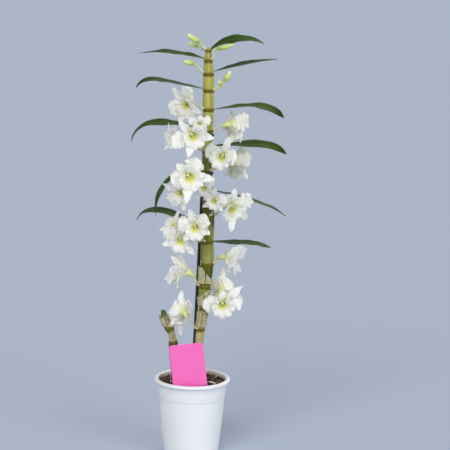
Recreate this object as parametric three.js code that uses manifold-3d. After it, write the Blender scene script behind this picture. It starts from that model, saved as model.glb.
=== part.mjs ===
// A white dendrobium orchid in bloom, standing in its plastic pot.
//
// The plant is one tall leafy cane and one short old cane. Both rise from the potting mix.
// A thin stake with two ties steadies the tall cane, and a card label stands in front of it.
// Every leaf, blossom, bud, dry sheath and root is a solid of its own.
//
// Millimetres and degrees. +Z is up, -Y is the front, and the origin is the middle of the
// pot's base, on the surface that the pot stands on.

import * as THREE from 'three';
import { mergeVertices } from 'three/addons/utils/BufferGeometryUtils.js';
import Module from 'manifold-3d';

const wasm = await Module();
wasm.setup();

// ---------------------------------------------------------------- driving dimensions

// Clearance between pieces that touch on the real plant.
const GAP = 0.3;

const POT_HEIGHT = 122;
const POT_SEGMENTS = 36;
const WALL = 1.7;
const BASE_THICKNESS = 2.2;
const RIM_RADIUS = 60;
// The outside of the wall below the rolled rim, as [radius, height], from the foot up.
const POT_WALL = [[41.3, 0], [43, 1.8], [46.3, 32], [48.5, 51], [50.4, 71], [51.5, 92.4], [52.5, 93.4], [55, 116.6]];
const DRAIN_HOLES = { count: 4, radius: 3.5, circle: 27 };

const MIX_TOP = 116.5;
const MIX_EDGE_DROP = 1.2;
const MIX_FLOOR = BASE_THICKNESS + GAP;

// The tall cane's nodes, as [height, sideways place, radius].
const CANE_NODES = [
  [96, 5.5, 5.6], [140, 7.5, 6], [169, 9.7, 6.2], [199.9, 11.8, 6.8], [233.6, 16.3, 7.2],
  [267.9, 16.9, 9.3], [303.7, 20.6, 10.3], [339.2, 19.4, 10.3], [379, 21, 9.4], [415, 19, 8.5],
  [449.4, 17.4, 7.6], [480, 16.4, 7.4], [511, 17.8, 7.8], [543.8, 17.6, 8.6], [573, 17.4, 8.4],
  [598, 16.9, 8.2], [618.4, 16.2, 6.5], [634, 16, 4.4],
];
const CANE_SIDES = 10;
const NODE_COLLAR = 0.5;
const INTERNODE_WAIST = 0.94;

// The short old cane, which leans back to the left in a zigzag.
const SHORT_CANE_NODES = [
  [97, -24, 5.5], [125, -26.5, 6.2], [160, -29.5, 6.8], [178, -30.5, 7.2], [184, -31.5, 5.2],
  [193, -33.5, 5], [201, -37, 7.6], [209, -41, 7.2], [216, -44, 6], [222, -46, 4.6], [229, -47.5, 3],
];

const STAKE = { foot: [-0.5, 11.5, 70], top: [13.5, 11.5, 512], radius: 2.7 };
const TIES = { heights: [446, 505], width: 3.4, thickness: 1.1 };

// The label: a rounded card on a spike, which leans to the left.
const TAG = { width: 53, height: 69, spike: 34, spikeWidth: 14, thickness: 0.8, corner: 5, lean: 7 };
const TAG_PLACE = [-1.4, -43, 117];

// Dry sheaths round the lower internodes: the heights of the bottom and of the top edge's high
// side, how far that edge falls to the right over 24 mm, and how far the sheath stands off.
const SHEATHS = [
  { name: 'sheath_lower', bottom: 205, top: 229, slope: 8, flare: 0.5 },
  { name: 'sheath_middle', bottom: 239, top: 264, slope: -20, flare: 0.7 },
  { name: 'sheath_upper', bottom: 274, top: 300, slope: 30, flare: 1.0 },
];

// The edge starts to fall this far from the cane's middle, on its high side.
const SHEATH_LEVEL = 6;
const SHEATH_SLOPE_WIDTH = 24;

// Leaves, from the top down. node and rise say where the blade leaves the cane, side is +1 for
// the right, and back turns the blade away from the front. The midrib starts at the angle
// climb, ends at the angle tip, and bends late where bend is large. twist turns the blade
// about its midrib at its base, middle and tip.
const LEAVES = [
  { node: 17, rise: 0, side: 1, back: -14, length: 88, width: 19, climb: 48, tip: -20, bend: 0.7, twist: [35, 40, 5] },
  { node: 16, rise: 2, side: -1, back: 8, length: 104, width: 18, climb: 16, tip: -9, bend: 1, twist: [14, 18, 4] },
  { node: 15, rise: 3, side: 1, back: 9, length: 102, width: 17, climb: 17, tip: 4, bend: 1.5, twist: [8, 14, 8] },
  { node: 14, rise: 2, side: -1, back: -7, length: 109, width: 19, climb: 11, tip: -70, bend: 6, twist: [4, 14, 24] },
  { node: 13, rise: 0, side: 1, back: 8, length: 115, width: 21, climb: 8, tip: -48, bend: 3, twist: [2, 12, 52] },
  { node: 12, rise: 4, side: -1, back: 5, length: 126, width: 21, climb: 8, tip: -86, bend: 3.5, twist: [12, 22, 14] },
  { node: 11, rise: 8, side: 1, back: -6, length: 118, width: 21, climb: 5, tip: -42, bend: 4, twist: [8, 20, 50] },
  { node: 10, rise: 5, side: -1, back: 6, length: 118, width: 20, climb: -3, tip: -95, bend: 1.1, twist: [10, 20, 25] },
  { node: 9, rise: 5, side: 1, back: 14, length: 127, width: 19, climb: -14, tip: -36, bend: 3, twist: [6, 10, 14] },
  { node: 8, rise: -18, side: -1, back: 20, length: 121, width: 19, climb: 19, tip: -70, bend: 4, twist: [10, 20, 18] },
  { node: 7, rise: 0, side: 1, back: 4, length: 93, width: 18, climb: -2, tip: -24, bend: 5, twist: [12, 18, 16] },
];
const LEAF_THICKNESS = 1.3;
// How far the blade's edges stand above its midrib, as a part of the half width.
const LEAF_FOLD = 0.16;

// Blossoms. node is the cane node that bears the stalk, at is the middle of the blossom, azimuth
// and elevation say where it faces (0 is the front, negative is left), and roll leans it left.
// cup is 0 where the blossom is open, 1 where it is half closed, and below 0 where it bends
// back. angles and lengths are for its dorsal sepal, right and left sepals, and right and left
// petals: the angle from the dorsal sepal, and the length as a part of the usual one.
const BLOSSOMS = [
  { node: 13, at: [-13, -15, 554], azimuth: -40, elevation: -12, roll: 36, size: 1, lengths: [1, 1.25, 1, 1, 1] },
  { node: 12, at: [6, -57, 527.5], azimuth: 0, elevation: 2, roll: 0, size: 0.54, cup: -0.6, lengths: [0.6, 0.8, 0.8, 1, 1] },
  { node: 11, at: [-5, -50, 508], azimuth: 4, elevation: 6, roll: 40, size: 1, angles: [0, 132, -132, 104, -68], lengths: [0.9, 1, 1.1, 0.75, 1.1] },
  { node: 11, at: [-31, -20, 500], azimuth: -62, elevation: 5, roll: 20, size: 0.75 },
  { node: 12, at: [50, 2, 522], azimuth: 122, elevation: -16, roll: 0, size: 1.15, cup: 0.1, lengths: [0.6, 0.75, 0.9, 0.85, 0.95] },
  { node: 10, at: [42, -28, 476], azimuth: -14, elevation: 2, roll: -30, size: 0.95, angles: [0, 132, -140, 68, -92], lengths: [1.05, 0.6, 0.55, 0.85, 0.95] },
  { node: 10, at: [55, 8, 463], azimuth: 124, elevation: -12, roll: 0, size: 1.1, cup: 0.1 },
  { node: 9, leave: -75, at: [-9, -50, 446], azimuth: 0, elevation: 8, roll: 43, size: 1.1, lengths: [0.75, 1.1, 1.2, 0.85, 0.8] },
  { node: 9, leave: -8, at: [12, -28, 428], azimuth: 10, elevation: -4, roll: 20, size: 0.62 },
  { node: 9, leave: -110, at: [-21, -14, 419], azimuth: -30, elevation: -18, roll: 60, size: 0.9 },
  { node: 8, leave: 20, at: [31, -26.5, 408], azimuth: -15, elevation: -4, roll: -10, size: 0.66, lengths: [1, 1, 1, 1, 0.85] },
  { node: 8, leave: 85, at: [54, -9, 397], azimuth: 30, elevation: -12, roll: 0, size: 1.1, angles: [4, 125, -174, 72, -56], lengths: [0.8, 1, 1.1, 1.05, 0.8] },
  { node: 7, at: [2, -38, 368], azimuth: -6, elevation: 5, roll: 16, size: 0.95, lengths: [0.95, 0.8, 0.9, 0.9, 0.9] },
  { node: 7, at: [-19, -22, 346], azimuth: -15, elevation: 0, roll: 0, size: 0.95, angles: [0, 132, -108, 68, -68] },
  { node: 7, at: [-29, 4, 361], azimuth: -50, elevation: 35, roll: 0, size: 0.78 },
  { node: 6, at: [47, -7, 317], azimuth: 76, elevation: -12, roll: 0, size: 1.2, cup: 0.8, lengths: [0.8, 1, 1, 1, 1] },
  { node: 5, at: [-10, -8, 292], azimuth: -84, elevation: 10, roll: 0, size: 1.3, cup: 0.9, angles: [40, 150, -132, 102, -30], lengths: [1, 1, 1, 1.05, 0.8] },
  { node: 4, at: [43, 10, 261], azimuth: 160, elevation: 5, roll: -6, size: 0.95, angles: [0, 132, -132, 58, -58], lengths: [1.1, 0.8, 0.8, 0.65, 0.65] },
  { node: 4, at: [45, -22, 247], azimuth: 5, elevation: -4, roll: 2, size: 1, cup: -0.3, angles: [0, 178, 42, 84, -82], lengths: [0.6, 0.75, 1.25, 1, 1] },
  { node: 3, at: [-14, -20, 230], azimuth: -148, elevation: 6, roll: 4, size: 1, cup: 0, angles: [0, -162, 140, 72, -66], lengths: [1.05, 1.45, 0.8, 0.7, 0.65] },
];
const TEPAL_ANGLES = [0, 132, -132, 68, -68];
const TEPAL_LENGTHS = [1, 1, 1, 1, 1];
const SEPAL_LENGTH = 36;
const SEPAL_WIDTH = 12;
const PETAL_LENGTH = 35;
const PETAL_WIDTH = 22;
const TEPAL_THICKNESS = 1.5;
const LIP_RADIUS = 13;
const LIP_DEPTH = 23;
const LIP_DROOP = 16;
const STALK_RADIUS = 1.2;

// Buds. base and tip are the two ends of the bud itself.
const BUDS = [
  { node: 17, leave: -75, base: [3.8, -4, 646], tip: [-16, -6, 658], radius: 3.3 },
  { node: 17, leave: -115, base: [0, 5, 640], tip: [-14.5, 6, 645.5], radius: 2.8 },
  { node: 16, base: [28.5, -8, 637], tip: [56, -14, 645.5], radius: 3.1 },
  { node: 15, base: [-5, -3, 614], tip: [-21, -5, 617.5], radius: 3.4 },
  { node: 14, base: [41, -3, 588], tip: [50.5, -3, 604], radius: 3.6 },
  { node: 14, base: [37, -9, 583], tip: [32, -11, 589], radius: 2.4 },
];

// Roots that show above the mix, as points along each one.
const ROOTS = [
  { points: [[13, -16, 118], [19, -27, 121.5], [28, -35, 124.5], [36, -34, 122], [38, -30, 117.9]], radius: 1.1 },
  { points: [[36, 20, 117.1], [42, 25, 118.9], [45, 20, 117]], radius: 1 },
  { points: [[-32.5, -15, 116.8], [-33.2, -15, 123], [-34.2, -15.5, 133]], radius: 0.9 },
];

const COLOURS = {
  pot: 0xe5e9ec, mix: 0x51433a, tag: 0xf86bbf, stake: 0x23261f, tie: 0x191a18, cane: 0x98a056,
  oldCane: 0x6f7b45, sheath: 0xbdb592, leaf: 0x46603f, blossom: 0xf1f0e0, bud: 0xc7d67c, root: 0xb9ad92,
};

// ---------------------------------------------------------------- helpers

const UP = new THREE.Vector3(0, 0, 1);
const radians = THREE.MathUtils.degToRad;
const lerp = THREE.MathUtils.lerp;
const group = new THREE.Group();

function vector(point) {
  return new THREE.Vector3(...point);
}

// a + b * amount
function along(start, direction, amount) {
  return start.clone().addScaledVector(direction, amount);
}

// The value at t on straight lines through [place, value] pairs.
function valueAt(pairs, t) {
  for (let i = 1; i < pairs.length; i++) {
    const [from, low] = pairs[i - 1];
    const [to, high] = pairs[i];
    if (t <= to) return lerp(low, high, Math.max(0, (t - from) / (to - from)));
  }
  return pairs[pairs.length - 1][1];
}

// A closed geometry through a row of rings with equally many points. A ring of one point is a tip.
function loft(rings) {
  const points = rings.flat();
  const faces = [];
  let start = 0;
  for (let k = 0; k + 1 < rings.length; k++) {
    const next = start + rings[k].length;
    const count = Math.max(rings[k].length, rings[k + 1].length);
    for (let i = 0; i < count; i++) {
      const j = (i + 1) % count;
      if (rings[k].length === 1) faces.push(start, next + j, next + i);
      else if (rings[k + 1].length === 1) faces.push(start + i, start + j, next);
      else faces.push(start + i, start + j, next + j, start + i, next + j, next + i);
    }
    start = next;
  }
  for (let i = 1; i + 1 < rings[0].length; i++) faces.push(0, i + 1, i);
  for (let i = 1; i + 1 < rings[rings.length - 1].length; i++) faces.push(start, start + i, start + i + 1);
  const geometry = new THREE.BufferGeometry().setFromPoints(points);
  geometry.setIndex(volume(points, faces) < 0 ? faces.reverse() : faces);
  return geometry;
}

function volume(points, faces) {
  let sum = 0;
  for (let i = 0; i < faces.length; i += 3) {
    const [a, b, c] = [points[faces[i]], points[faces[i + 1]], points[faces[i + 2]]];
    sum += a.dot(b.clone().cross(c));
  }
  return sum / 6;
}

// A solid that can be joined and cut, from any closed geometry.
function solid(source) {
  const geometry = source.clone();
  geometry.deleteAttribute('normal');
  geometry.deleteAttribute('uv');
  const merged = mergeVertices(geometry, 1e-4);
  const index = merged.index.array;
  const faces = [];
  for (let i = 0; i < index.length; i += 3) {
    const [a, b, c] = [index[i], index[i + 1], index[i + 2]];
    if (a !== b && b !== c && c !== a) faces.push(a, b, c);
  }
  const vertProperties = new Float32Array(merged.attributes.position.array);
  return new wasm.Manifold(new wasm.Mesh({ numProp: 3, vertProperties, triVerts: new Uint32Array(faces) }));
}

function union(solids) {
  return solids.reduce((sum, item) => sum.add(item));
}

// Puts a finished solid into the model as a named mesh with its own material.
function place(name, shape, color, roughness = 0.6) {
  const { vertProperties, triVerts } = shape.getMesh();
  const geometry = new THREE.BufferGeometry();
  geometry.setAttribute('position', new THREE.BufferAttribute(vertProperties, 3));
  geometry.setIndex(new THREE.BufferAttribute(triVerts, 1));
  geometry.computeVertexNormals();
  const mesh = new THREE.Mesh(geometry, new THREE.MeshStandardMaterial({ color, roughness, metalness: 0 }));
  mesh.name = name;
  group.add(mesh);
}

// A level ring round a point, for canes.
function levelRing(center, radius, sides) {
  return Array.from({ length: sides }, (_, i) => {
    const turn = (2 * Math.PI * i) / sides;
    return new THREE.Vector3(center.x + radius * Math.cos(turn), center.y + radius * Math.sin(turn), center.z);
  });
}

// A round tube along a curve, closed at both ends. radiusAt gives its radius from 0 to 1.
function tube(curve, steps, sides, radiusAt) {
  const frames = curve.computeFrenetFrames(steps, false);
  const rings = [];
  for (let k = 0; k <= steps; k++) {
    const center = curve.getPointAt(k / steps);
    const radius = radiusAt(k / steps);
    rings.push(Array.from({ length: sides }, (_, i) => {
      const turn = (2 * Math.PI * i) / sides;
      const out = along(center, frames.normals[k], radius * Math.cos(turn));
      return out.addScaledVector(frames.binormals[k], radius * Math.sin(turn));
    }));
  }
  return solid(loft(rings));
}

// ---------------------------------------------------------------- pot and potting mix

function potRadius(height) {
  return valueAt(POT_WALL.map(([radius, z]) => [z, radius]), height);
}

function lathe(outline) {
  const geometry = new THREE.LatheGeometry(outline.map(([r, z]) => new THREE.Vector2(r, z)), POT_SEGMENTS);
  return solid(geometry.rotateX(Math.PI / 2));
}

function potSolid() {
  const inside = POT_WALL.slice(1).reverse().map(([radius, z]) => [radius - WALL, Math.max(z, BASE_THICKNESS)]);
  const rim = [
    [RIM_RADIUS - 1, 117.2], [RIM_RADIUS, 118.2], [RIM_RADIUS, 120.8], [RIM_RADIUS - 1, POT_HEIGHT],
    [RIM_RADIUS - 5, POT_HEIGHT], [RIM_RADIUS - 6.4, 120.8],
  ];
  const body = lathe([[0, 0], ...POT_WALL, ...rim, ...inside, [0, BASE_THICKNESS]]);
  const holes = Array.from({ length: DRAIN_HOLES.count }, (_, i) => {
    const turn = ((i + 0.5) * 2 * Math.PI) / DRAIN_HOLES.count;
    const hole = new THREE.CylinderGeometry(DRAIN_HOLES.radius, DRAIN_HOLES.radius, 3 * BASE_THICKNESS, 10);
    hole.rotateX(Math.PI / 2);
    hole.translate(DRAIN_HOLES.circle * Math.cos(turn), DRAIN_HOLES.circle * Math.sin(turn), 0);
    return solid(hole);
  });
  return body.subtract(union(holes));
}

function mixSolid(inserts) {
  const heights = [MIX_FLOOR, 32, 51, 71, 92.4, MIX_TOP - MIX_EDGE_DROP];
  const side = heights.map((z) => [potRadius(z) - WALL - GAP - 0.05, z]);
  return lathe([[0, MIX_FLOOR], ...side, [30, MIX_TOP], [0, MIX_TOP]]).subtract(union(inserts));
}

// ---------------------------------------------------------------- canes, sheaths, stake and ties

// The cane's centre line and outline, which extra makes thicker all round.
function caneRings(extra) {
  const rings = [];
  CANE_NODES.forEach(([z, x, radius], i) => {
    const ring = (height, size) => levelRing(new THREE.Vector3(caneAxis(height), 0, height), size + extra, CANE_SIDES);
    rings.push(ring(i === 0 ? z - extra : z, radius + NODE_COLLAR));
    if (i + 1 === CANE_NODES.length) return;
    const [nextZ, , nextRadius] = CANE_NODES[i + 1];
    rings.push(ring(z + 3, radius * INTERNODE_WAIST));
    rings.push(ring(nextZ - 3, nextRadius * INTERNODE_WAIST));
  });
  const [topZ, topX] = CANE_NODES[CANE_NODES.length - 1];
  rings.push([new THREE.Vector3(topX, 0, topZ + 4 + extra)]);
  return rings;
}

function caneAxis(height) {
  return valueAt(CANE_NODES.map(([z, x]) => [z, x]), height);
}

function caneRadius(height) {
  return valueAt(CANE_NODES.map(([z, , radius]) => [z, radius]), height);
}

function shortCaneRings(extra) {
  const rings = SHORT_CANE_NODES.map(([z, x, radius], i) => {
    return levelRing(new THREE.Vector3(x, 0, i === 0 ? z - extra : z), radius + extra, CANE_SIDES);
  });
  return rings;
}

function rod(foot, top, radius, sides) {
  return solid(loft([levelRing(vector(foot), radius, sides), levelRing(vector(top), radius, sides)]));
}

// A dry sheath: a sleeve round the cane whose top edge is cut off at a slope.
function sheathSolid({ bottom, top, slope, flare }) {
  const heights = [bottom, (bottom + top) / 2, top];
  const outside = heights.map((z, i) => {
    const center = new THREE.Vector3(caneAxis(z) - flare * i * 0.5, -flare * i * 0.7, z);
    return levelRing(center, caneRadius(z) + NODE_COLLAR + 1.2 + flare * i, CANE_SIDES);
  });
  const cutter = new THREE.BoxGeometry(60, 60, 40);
  cutter.translate(0, 0, 20);
  cutter.rotateY(Math.atan(slope / SHEATH_SLOPE_WIDTH));
  cutter.translate(caneAxis(top) - SHEATH_LEVEL * Math.sign(slope), 0, top);
  return solid(loft(outside)).subtract(solid(cutter)).subtract(thickCane);
}

function stakeAxis(height) {
  const share = (height - STAKE.foot[2]) / (STAKE.top[2] - STAKE.foot[2]);
  return lerp(STAKE.foot[0], STAKE.top[0], share);
}

// The outline of a belt round two circles, which stand apart along the line between them.
function beltOutline(first, firstRadius, second, secondRadius) {
  const line = second.clone().sub(first);
  const heading = line.angle();
  const lap = Math.acos((firstRadius - secondRadius) / line.length());
  const points = [];
  const arc = (center, radius, from, to, steps) => {
    for (let i = 0; i <= steps; i++) {
      const turn = heading + lerp(from, to, i / steps);
      points.push(new THREE.Vector2(center.x + radius * Math.cos(turn), center.y + radius * Math.sin(turn)));
    }
  };
  arc(first, firstRadius, lap, 2 * Math.PI - lap, 10);
  arc(second, secondRadius, -lap, lap, 5);
  return points;
}

// A tie: a band that holds the cane and the stake together.
function tieSolid(height) {
  const cane = new THREE.Vector2(caneAxis(height), 0);
  const stake = new THREE.Vector2(stakeAxis(height), STAKE.foot[1]);
  const [caneSize, stakeSize] = [caneRadius(height) + NODE_COLLAR + GAP, STAKE.radius + 2 * GAP];
  const band = new THREE.Shape(beltOutline(cane, caneSize + TIES.thickness, stake, stakeSize + TIES.thickness));
  band.holes.push(new THREE.Path(beltOutline(cane, caneSize, stake, stakeSize).reverse()));
  const geometry = new THREE.ExtrudeGeometry(band, { depth: TIES.width, bevelEnabled: false });
  return solid(geometry.translate(0, 0, height - TIES.width / 2));
}

// ---------------------------------------------------------------- label

// The label's outline, extra larger all round.
function tagOutline(extra) {
  const half = TAG.width / 2 + extra;
  const spikeHalf = TAG.spikeWidth / 2 + extra;
  const outline = new THREE.Shape();
  const corner = TAG.corner;
  outline.moveTo(-spikeHalf, 0);
  outline.lineTo(0, -TAG.spike - extra);
  outline.lineTo(spikeHalf, 0);
  outline.lineTo(half, 0);
  outline.lineTo(half, TAG.height - corner);
  outline.absarc(half - corner, TAG.height - corner, corner, 0, Math.PI / 2, false);
  outline.absarc(-half + corner, TAG.height - corner, corner, Math.PI / 2, Math.PI, false);
  outline.lineTo(-half, 0);
  return outline;
}

function tagSolid(extra) {
  const depth = TAG.thickness + 2 * extra;
  const geometry = new THREE.ExtrudeGeometry(tagOutline(extra), { depth, bevelEnabled: false, curveSegments: 3 });
  geometry.translate(0, 0, -depth / 2);
  geometry.rotateX(Math.PI / 2);
  geometry.rotateY(radians(-TAG.lean));
  return solid(geometry.translate(...TAG_PLACE));
}

// ---------------------------------------------------------------- leaves

// A leaf blade, folded a little along its midrib, with a blunt base and a pointed tip.
function leafSolid(leaf) {
  const steps = 9;
  const heading = new THREE.Vector3(leaf.side * Math.cos(radians(leaf.back)), Math.sin(radians(leaf.back)), 0);
  const nodeZ = CANE_NODES[leaf.node][0] + leaf.rise;
  const start = new THREE.Vector3(caneAxis(nodeZ), 0, nodeZ);
  const center = along(start, heading, caneRadius(nodeZ) * 0.7);
  const rings = [];
  for (let k = 0; k <= steps; k++) {
    const share = k / steps;
    const angle = radians(lerp(leaf.climb, leaf.tip, share ** leaf.bend));
    const tangent = heading.clone().multiplyScalar(Math.cos(angle)).addScaledVector(UP, Math.sin(angle));
    const twist = radians(valueAt([[0, leaf.twist[0]], [0.5, leaf.twist[1]], [1, leaf.twist[2]]], share));
    const side = heading.clone().cross(UP).multiplyScalar(leaf.side).applyAxisAngle(tangent, twist * leaf.side);
    const normal = side.clone().cross(tangent).multiplyScalar(leaf.side);
    const half = (leaf.width / 2) * leafOutline(share);
    const edge = along(center, normal, LEAF_FOLD * half);
    if (k === steps) {
      rings.push([center.clone()]);
    } else {
      rings.push([
        along(edge, side, half), along(center, normal, LEAF_THICKNESS / 2),
        along(edge, side, -half), along(center, normal, -LEAF_THICKNESS / 2),
      ]);
    }
    center.addScaledVector(tangent, leaf.length / steps);
  }
  return solid(loft(rings)).subtract(thickCane).subtract(thickStake);
}

// The blade's half width as a part of the largest, from its base (0) to its tip (1).
function leafOutline(share) {
  return valueAt([[0, 0.34], [0.12, 0.5], [0.3, 0.9], [0.5, 1], [0.72, 0.88], [0.88, 0.52], [1, 0]], share);
}

// ---------------------------------------------------------------- blossoms and buds

// The three directions of a blossom: to its right, to its dorsal sepal, and out of its face.
function blossomAxes({ azimuth, elevation, roll }) {
  const [a, e, r] = [radians(azimuth), radians(elevation), radians(roll)];
  const face = new THREE.Vector3(Math.cos(e) * Math.sin(a), -Math.cos(e) * Math.cos(a), Math.sin(e));
  const top = along(UP, face, -face.z).normalize();
  const right = top.clone().cross(face);
  const dorsal = top.clone().multiplyScalar(Math.cos(r)).addScaledVector(right, -Math.sin(r));
  return { right: dorsal.clone().cross(face), dorsal, face };
}

// A sepal or petal, laid out at an angle from the dorsal sepal. It runs out from the centre and
// forward, and further forward in a cupped blossom.
function tepal(angle, length, width, cup) {
  const out = new THREE.Vector3(Math.sin(radians(angle)), Math.cos(radians(angle)), 0);
  const side = new THREE.Vector3(Math.cos(radians(angle)), -Math.sin(radians(angle)), 0);
  const sections = [[0, 0.3, 0], [0.4, 0.94, 0.26], [0.68, 0.8, 0.36]];
  const spine = (reach, lift) => {
    return out.clone().multiplyScalar(length * reach * (1 - 0.22 * cup)).addScaledVector(UP, length * lift * (1 + cup));
  };
  const rings = sections.map(([reach, breadth, lift]) => {
    const center = spine(reach, lift);
    const half = (width / 2) * breadth;
    return [
      along(center, side, half), along(center, UP, TEPAL_THICKNESS / 2),
      along(center, side, -half), along(center, UP, -TEPAL_THICKNESS / 2),
    ];
  });
  rings.push([spine(0.9, 0.38)]);
  return solid(loft(rings));
}

// The lip: an open funnel that leans down out of the blossom's middle.
function lip() {
  const outline = [[0, -2.5], [4, 2], [7, 14], [LIP_RADIUS, LIP_DEPTH - 1], [LIP_RADIUS - 1, LIP_DEPTH], [0, 8]];
  const geometry = new THREE.LatheGeometry(outline.map(([r, y]) => new THREE.Vector2(r, y)), 6);
  return solid(geometry.rotateX(Math.PI / 2 + radians(LIP_DROOP)));
}

function blossomHead({ cup = 0, angles = TEPAL_ANGLES, lengths = TEPAL_LENGTHS }) {
  const tepals = angles.map((angle, i) => {
    const [length, width] = i < 3 ? [SEPAL_LENGTH, SEPAL_WIDTH] : [PETAL_LENGTH, PETAL_WIDTH];
    return tepal(angle, length * lengths[i], width, cup);
  });
  return union([...tepals, lip()]);
}

// The stalk from the cane's node to the back of a blossom or bud.
function stalk({ node, leave }, at, arrival, reach) {
  const [z, x, radius] = CANE_NODES[node];
  const middle = new THREE.Vector3(x, 0, z + 0.5);
  const turn = leave === undefined ? Math.atan2(at.x - x, -at.y) : radians(leave);
  const heading = new THREE.Vector3(Math.sin(turn), -Math.cos(turn), 0);
  const start = along(middle, heading, radius * 0.6);
  const distance = start.distanceTo(at);
  const leaving = along(start, heading, distance * 0.3).addScaledVector(UP, distance * 0.12);
  const arriving = along(at, arrival, -reach * distance);
  return tube(new THREE.CubicBezierCurve3(start, leaving, arriving, at), 5, 5, () => STALK_RADIUS);
}

function blossomSolid(blossom) {
  const { right, dorsal, face } = blossomAxes(blossom);
  const at = vector(blossom.at);
  const turn = new THREE.Matrix4().makeBasis(right, dorsal, face).scale(new THREE.Vector3().setScalar(blossom.size));
  turn.setPosition(at);
  const seat = along(at, face, 0.8);
  const head = blossomHead(blossom).transform(turn.elements);
  return head.add(stalk(blossom, seat, face, 0.42)).subtract(thickCane);
}

function budSolid(bud) {
  const { base, tip, radius } = bud;
  const [start, end] = [vector(base), vector(tip)];
  const swell = [[0, 0.3], [0.25, 0.85], [0.5, 1], [0.8, 0.62], [1, 0.12]];
  const body = tube(new THREE.LineCurve3(start, end), 5, 6, (share) => radius * valueAt(swell, share));
  const heading = end.clone().sub(start).normalize();
  return body.add(stalk(bud, along(start, heading, 0.8), heading, 0.3)).subtract(thickCane);
}

// ---------------------------------------------------------------- the plant

const cane = solid(loft(caneRings(0)));
const thickCane = solid(loft(caneRings(GAP)));
const shortCane = solid(loft(shortCaneRings(0)));
const thickStake = rod([STAKE.foot[0], STAKE.foot[1], STAKE.foot[2] - GAP], STAKE.top, STAKE.radius + GAP, 8);

place('pot', potSolid(), COLOURS.pot, 0.4);
place('potting_mix', mixSolid([thickCane, solid(loft(shortCaneRings(GAP))), thickStake, tagSolid(GAP)]), COLOURS.mix, 0.95);
place('plant_tag', tagSolid(0), COLOURS.tag, 0.45);
place('support_stake', rod(STAKE.foot, STAKE.top, STAKE.radius, 8), COLOURS.stake, 0.5);
TIES.heights.forEach((height, i) => place(['tie_lower', 'tie_upper'][i], tieSolid(height), COLOURS.tie, 0.5));
place('main_cane', cane, COLOURS.cane, 0.5);
place('short_cane', shortCane, COLOURS.oldCane, 0.6);
SHEATHS.forEach((sheath) => place(sheath.name, sheathSolid(sheath), COLOURS.sheath, 0.85));
LEAVES.forEach((leaf, i) => place(`leaf_${i + 1}`, leafSolid(leaf), COLOURS.leaf, 0.45));
BLOSSOMS.forEach((blossom, i) => place(`blossom_${i + 1}`, blossomSolid(blossom), COLOURS.blossom, 0.6));
BUDS.forEach((bud, i) => place(`bud_${i + 1}`, budSolid(bud), COLOURS.bud, 0.55));
ROOTS.forEach(({ points, radius }, i) => {
  const curve = new THREE.CatmullRomCurve3(points.map(vector));
  place(`root_${i + 1}`, tube(curve, 10, 6, () => radius), COLOURS.root, 0.8);
});

export default group;
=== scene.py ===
# %% [markdown]
# # A white dendrobium orchid in its pot
#
# One tall leafy cane carries white blossoms along its length and buds at its top. A short old
# cane stands beside it, a thin stake holds the tall one up, and a card label leans in front.
# Shapes below are written in millimetres, as a gardener would measure them, and become metres
# when a mesh is made. +Z is up and -Y is the front.

import math

import bpy
import numpy as np
from mathutils import Matrix, Vector


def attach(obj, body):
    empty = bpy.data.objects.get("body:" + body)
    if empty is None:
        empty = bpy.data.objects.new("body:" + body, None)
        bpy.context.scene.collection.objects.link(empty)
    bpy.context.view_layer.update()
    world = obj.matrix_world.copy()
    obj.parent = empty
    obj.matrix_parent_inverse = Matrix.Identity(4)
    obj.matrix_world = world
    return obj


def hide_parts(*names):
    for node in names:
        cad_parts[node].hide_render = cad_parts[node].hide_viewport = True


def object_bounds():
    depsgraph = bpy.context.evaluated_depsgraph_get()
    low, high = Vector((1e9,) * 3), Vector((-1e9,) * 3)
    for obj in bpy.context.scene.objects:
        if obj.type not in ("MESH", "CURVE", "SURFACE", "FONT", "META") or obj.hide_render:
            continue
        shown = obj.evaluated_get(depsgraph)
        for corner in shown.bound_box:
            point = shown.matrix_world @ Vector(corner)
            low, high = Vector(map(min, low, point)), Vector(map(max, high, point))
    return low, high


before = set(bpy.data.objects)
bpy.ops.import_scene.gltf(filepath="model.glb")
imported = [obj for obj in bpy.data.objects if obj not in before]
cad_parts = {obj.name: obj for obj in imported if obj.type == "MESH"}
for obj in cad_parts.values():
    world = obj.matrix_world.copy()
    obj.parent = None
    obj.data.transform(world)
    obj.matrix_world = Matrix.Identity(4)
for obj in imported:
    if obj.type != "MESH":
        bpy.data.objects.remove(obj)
cad_low, cad_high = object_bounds()
print("frame:", len(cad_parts), "nodes, top at", round(cad_high.z, 3), "m")

# %% [markdown]
# ## Node graphs written as Python
#
# Materials and Geometry Nodes are both graphs of nodes. Wiring them by hand hides the maths, so
# a small class stands for one output socket, and Python's own operators on it add Math nodes.
# Every other node comes from one method, which sets the node's options and then its sockets.

# %% Wires
def socket_of(sockets, key):
    """A socket by its number, its name or its identifier."""
    if isinstance(key, int):
        return sockets[key]
    named = [socket for socket in sockets if socket.name == key and socket.enabled]
    return named[0] if named else next(socket for socket in sockets if socket.identifier == key)


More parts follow.
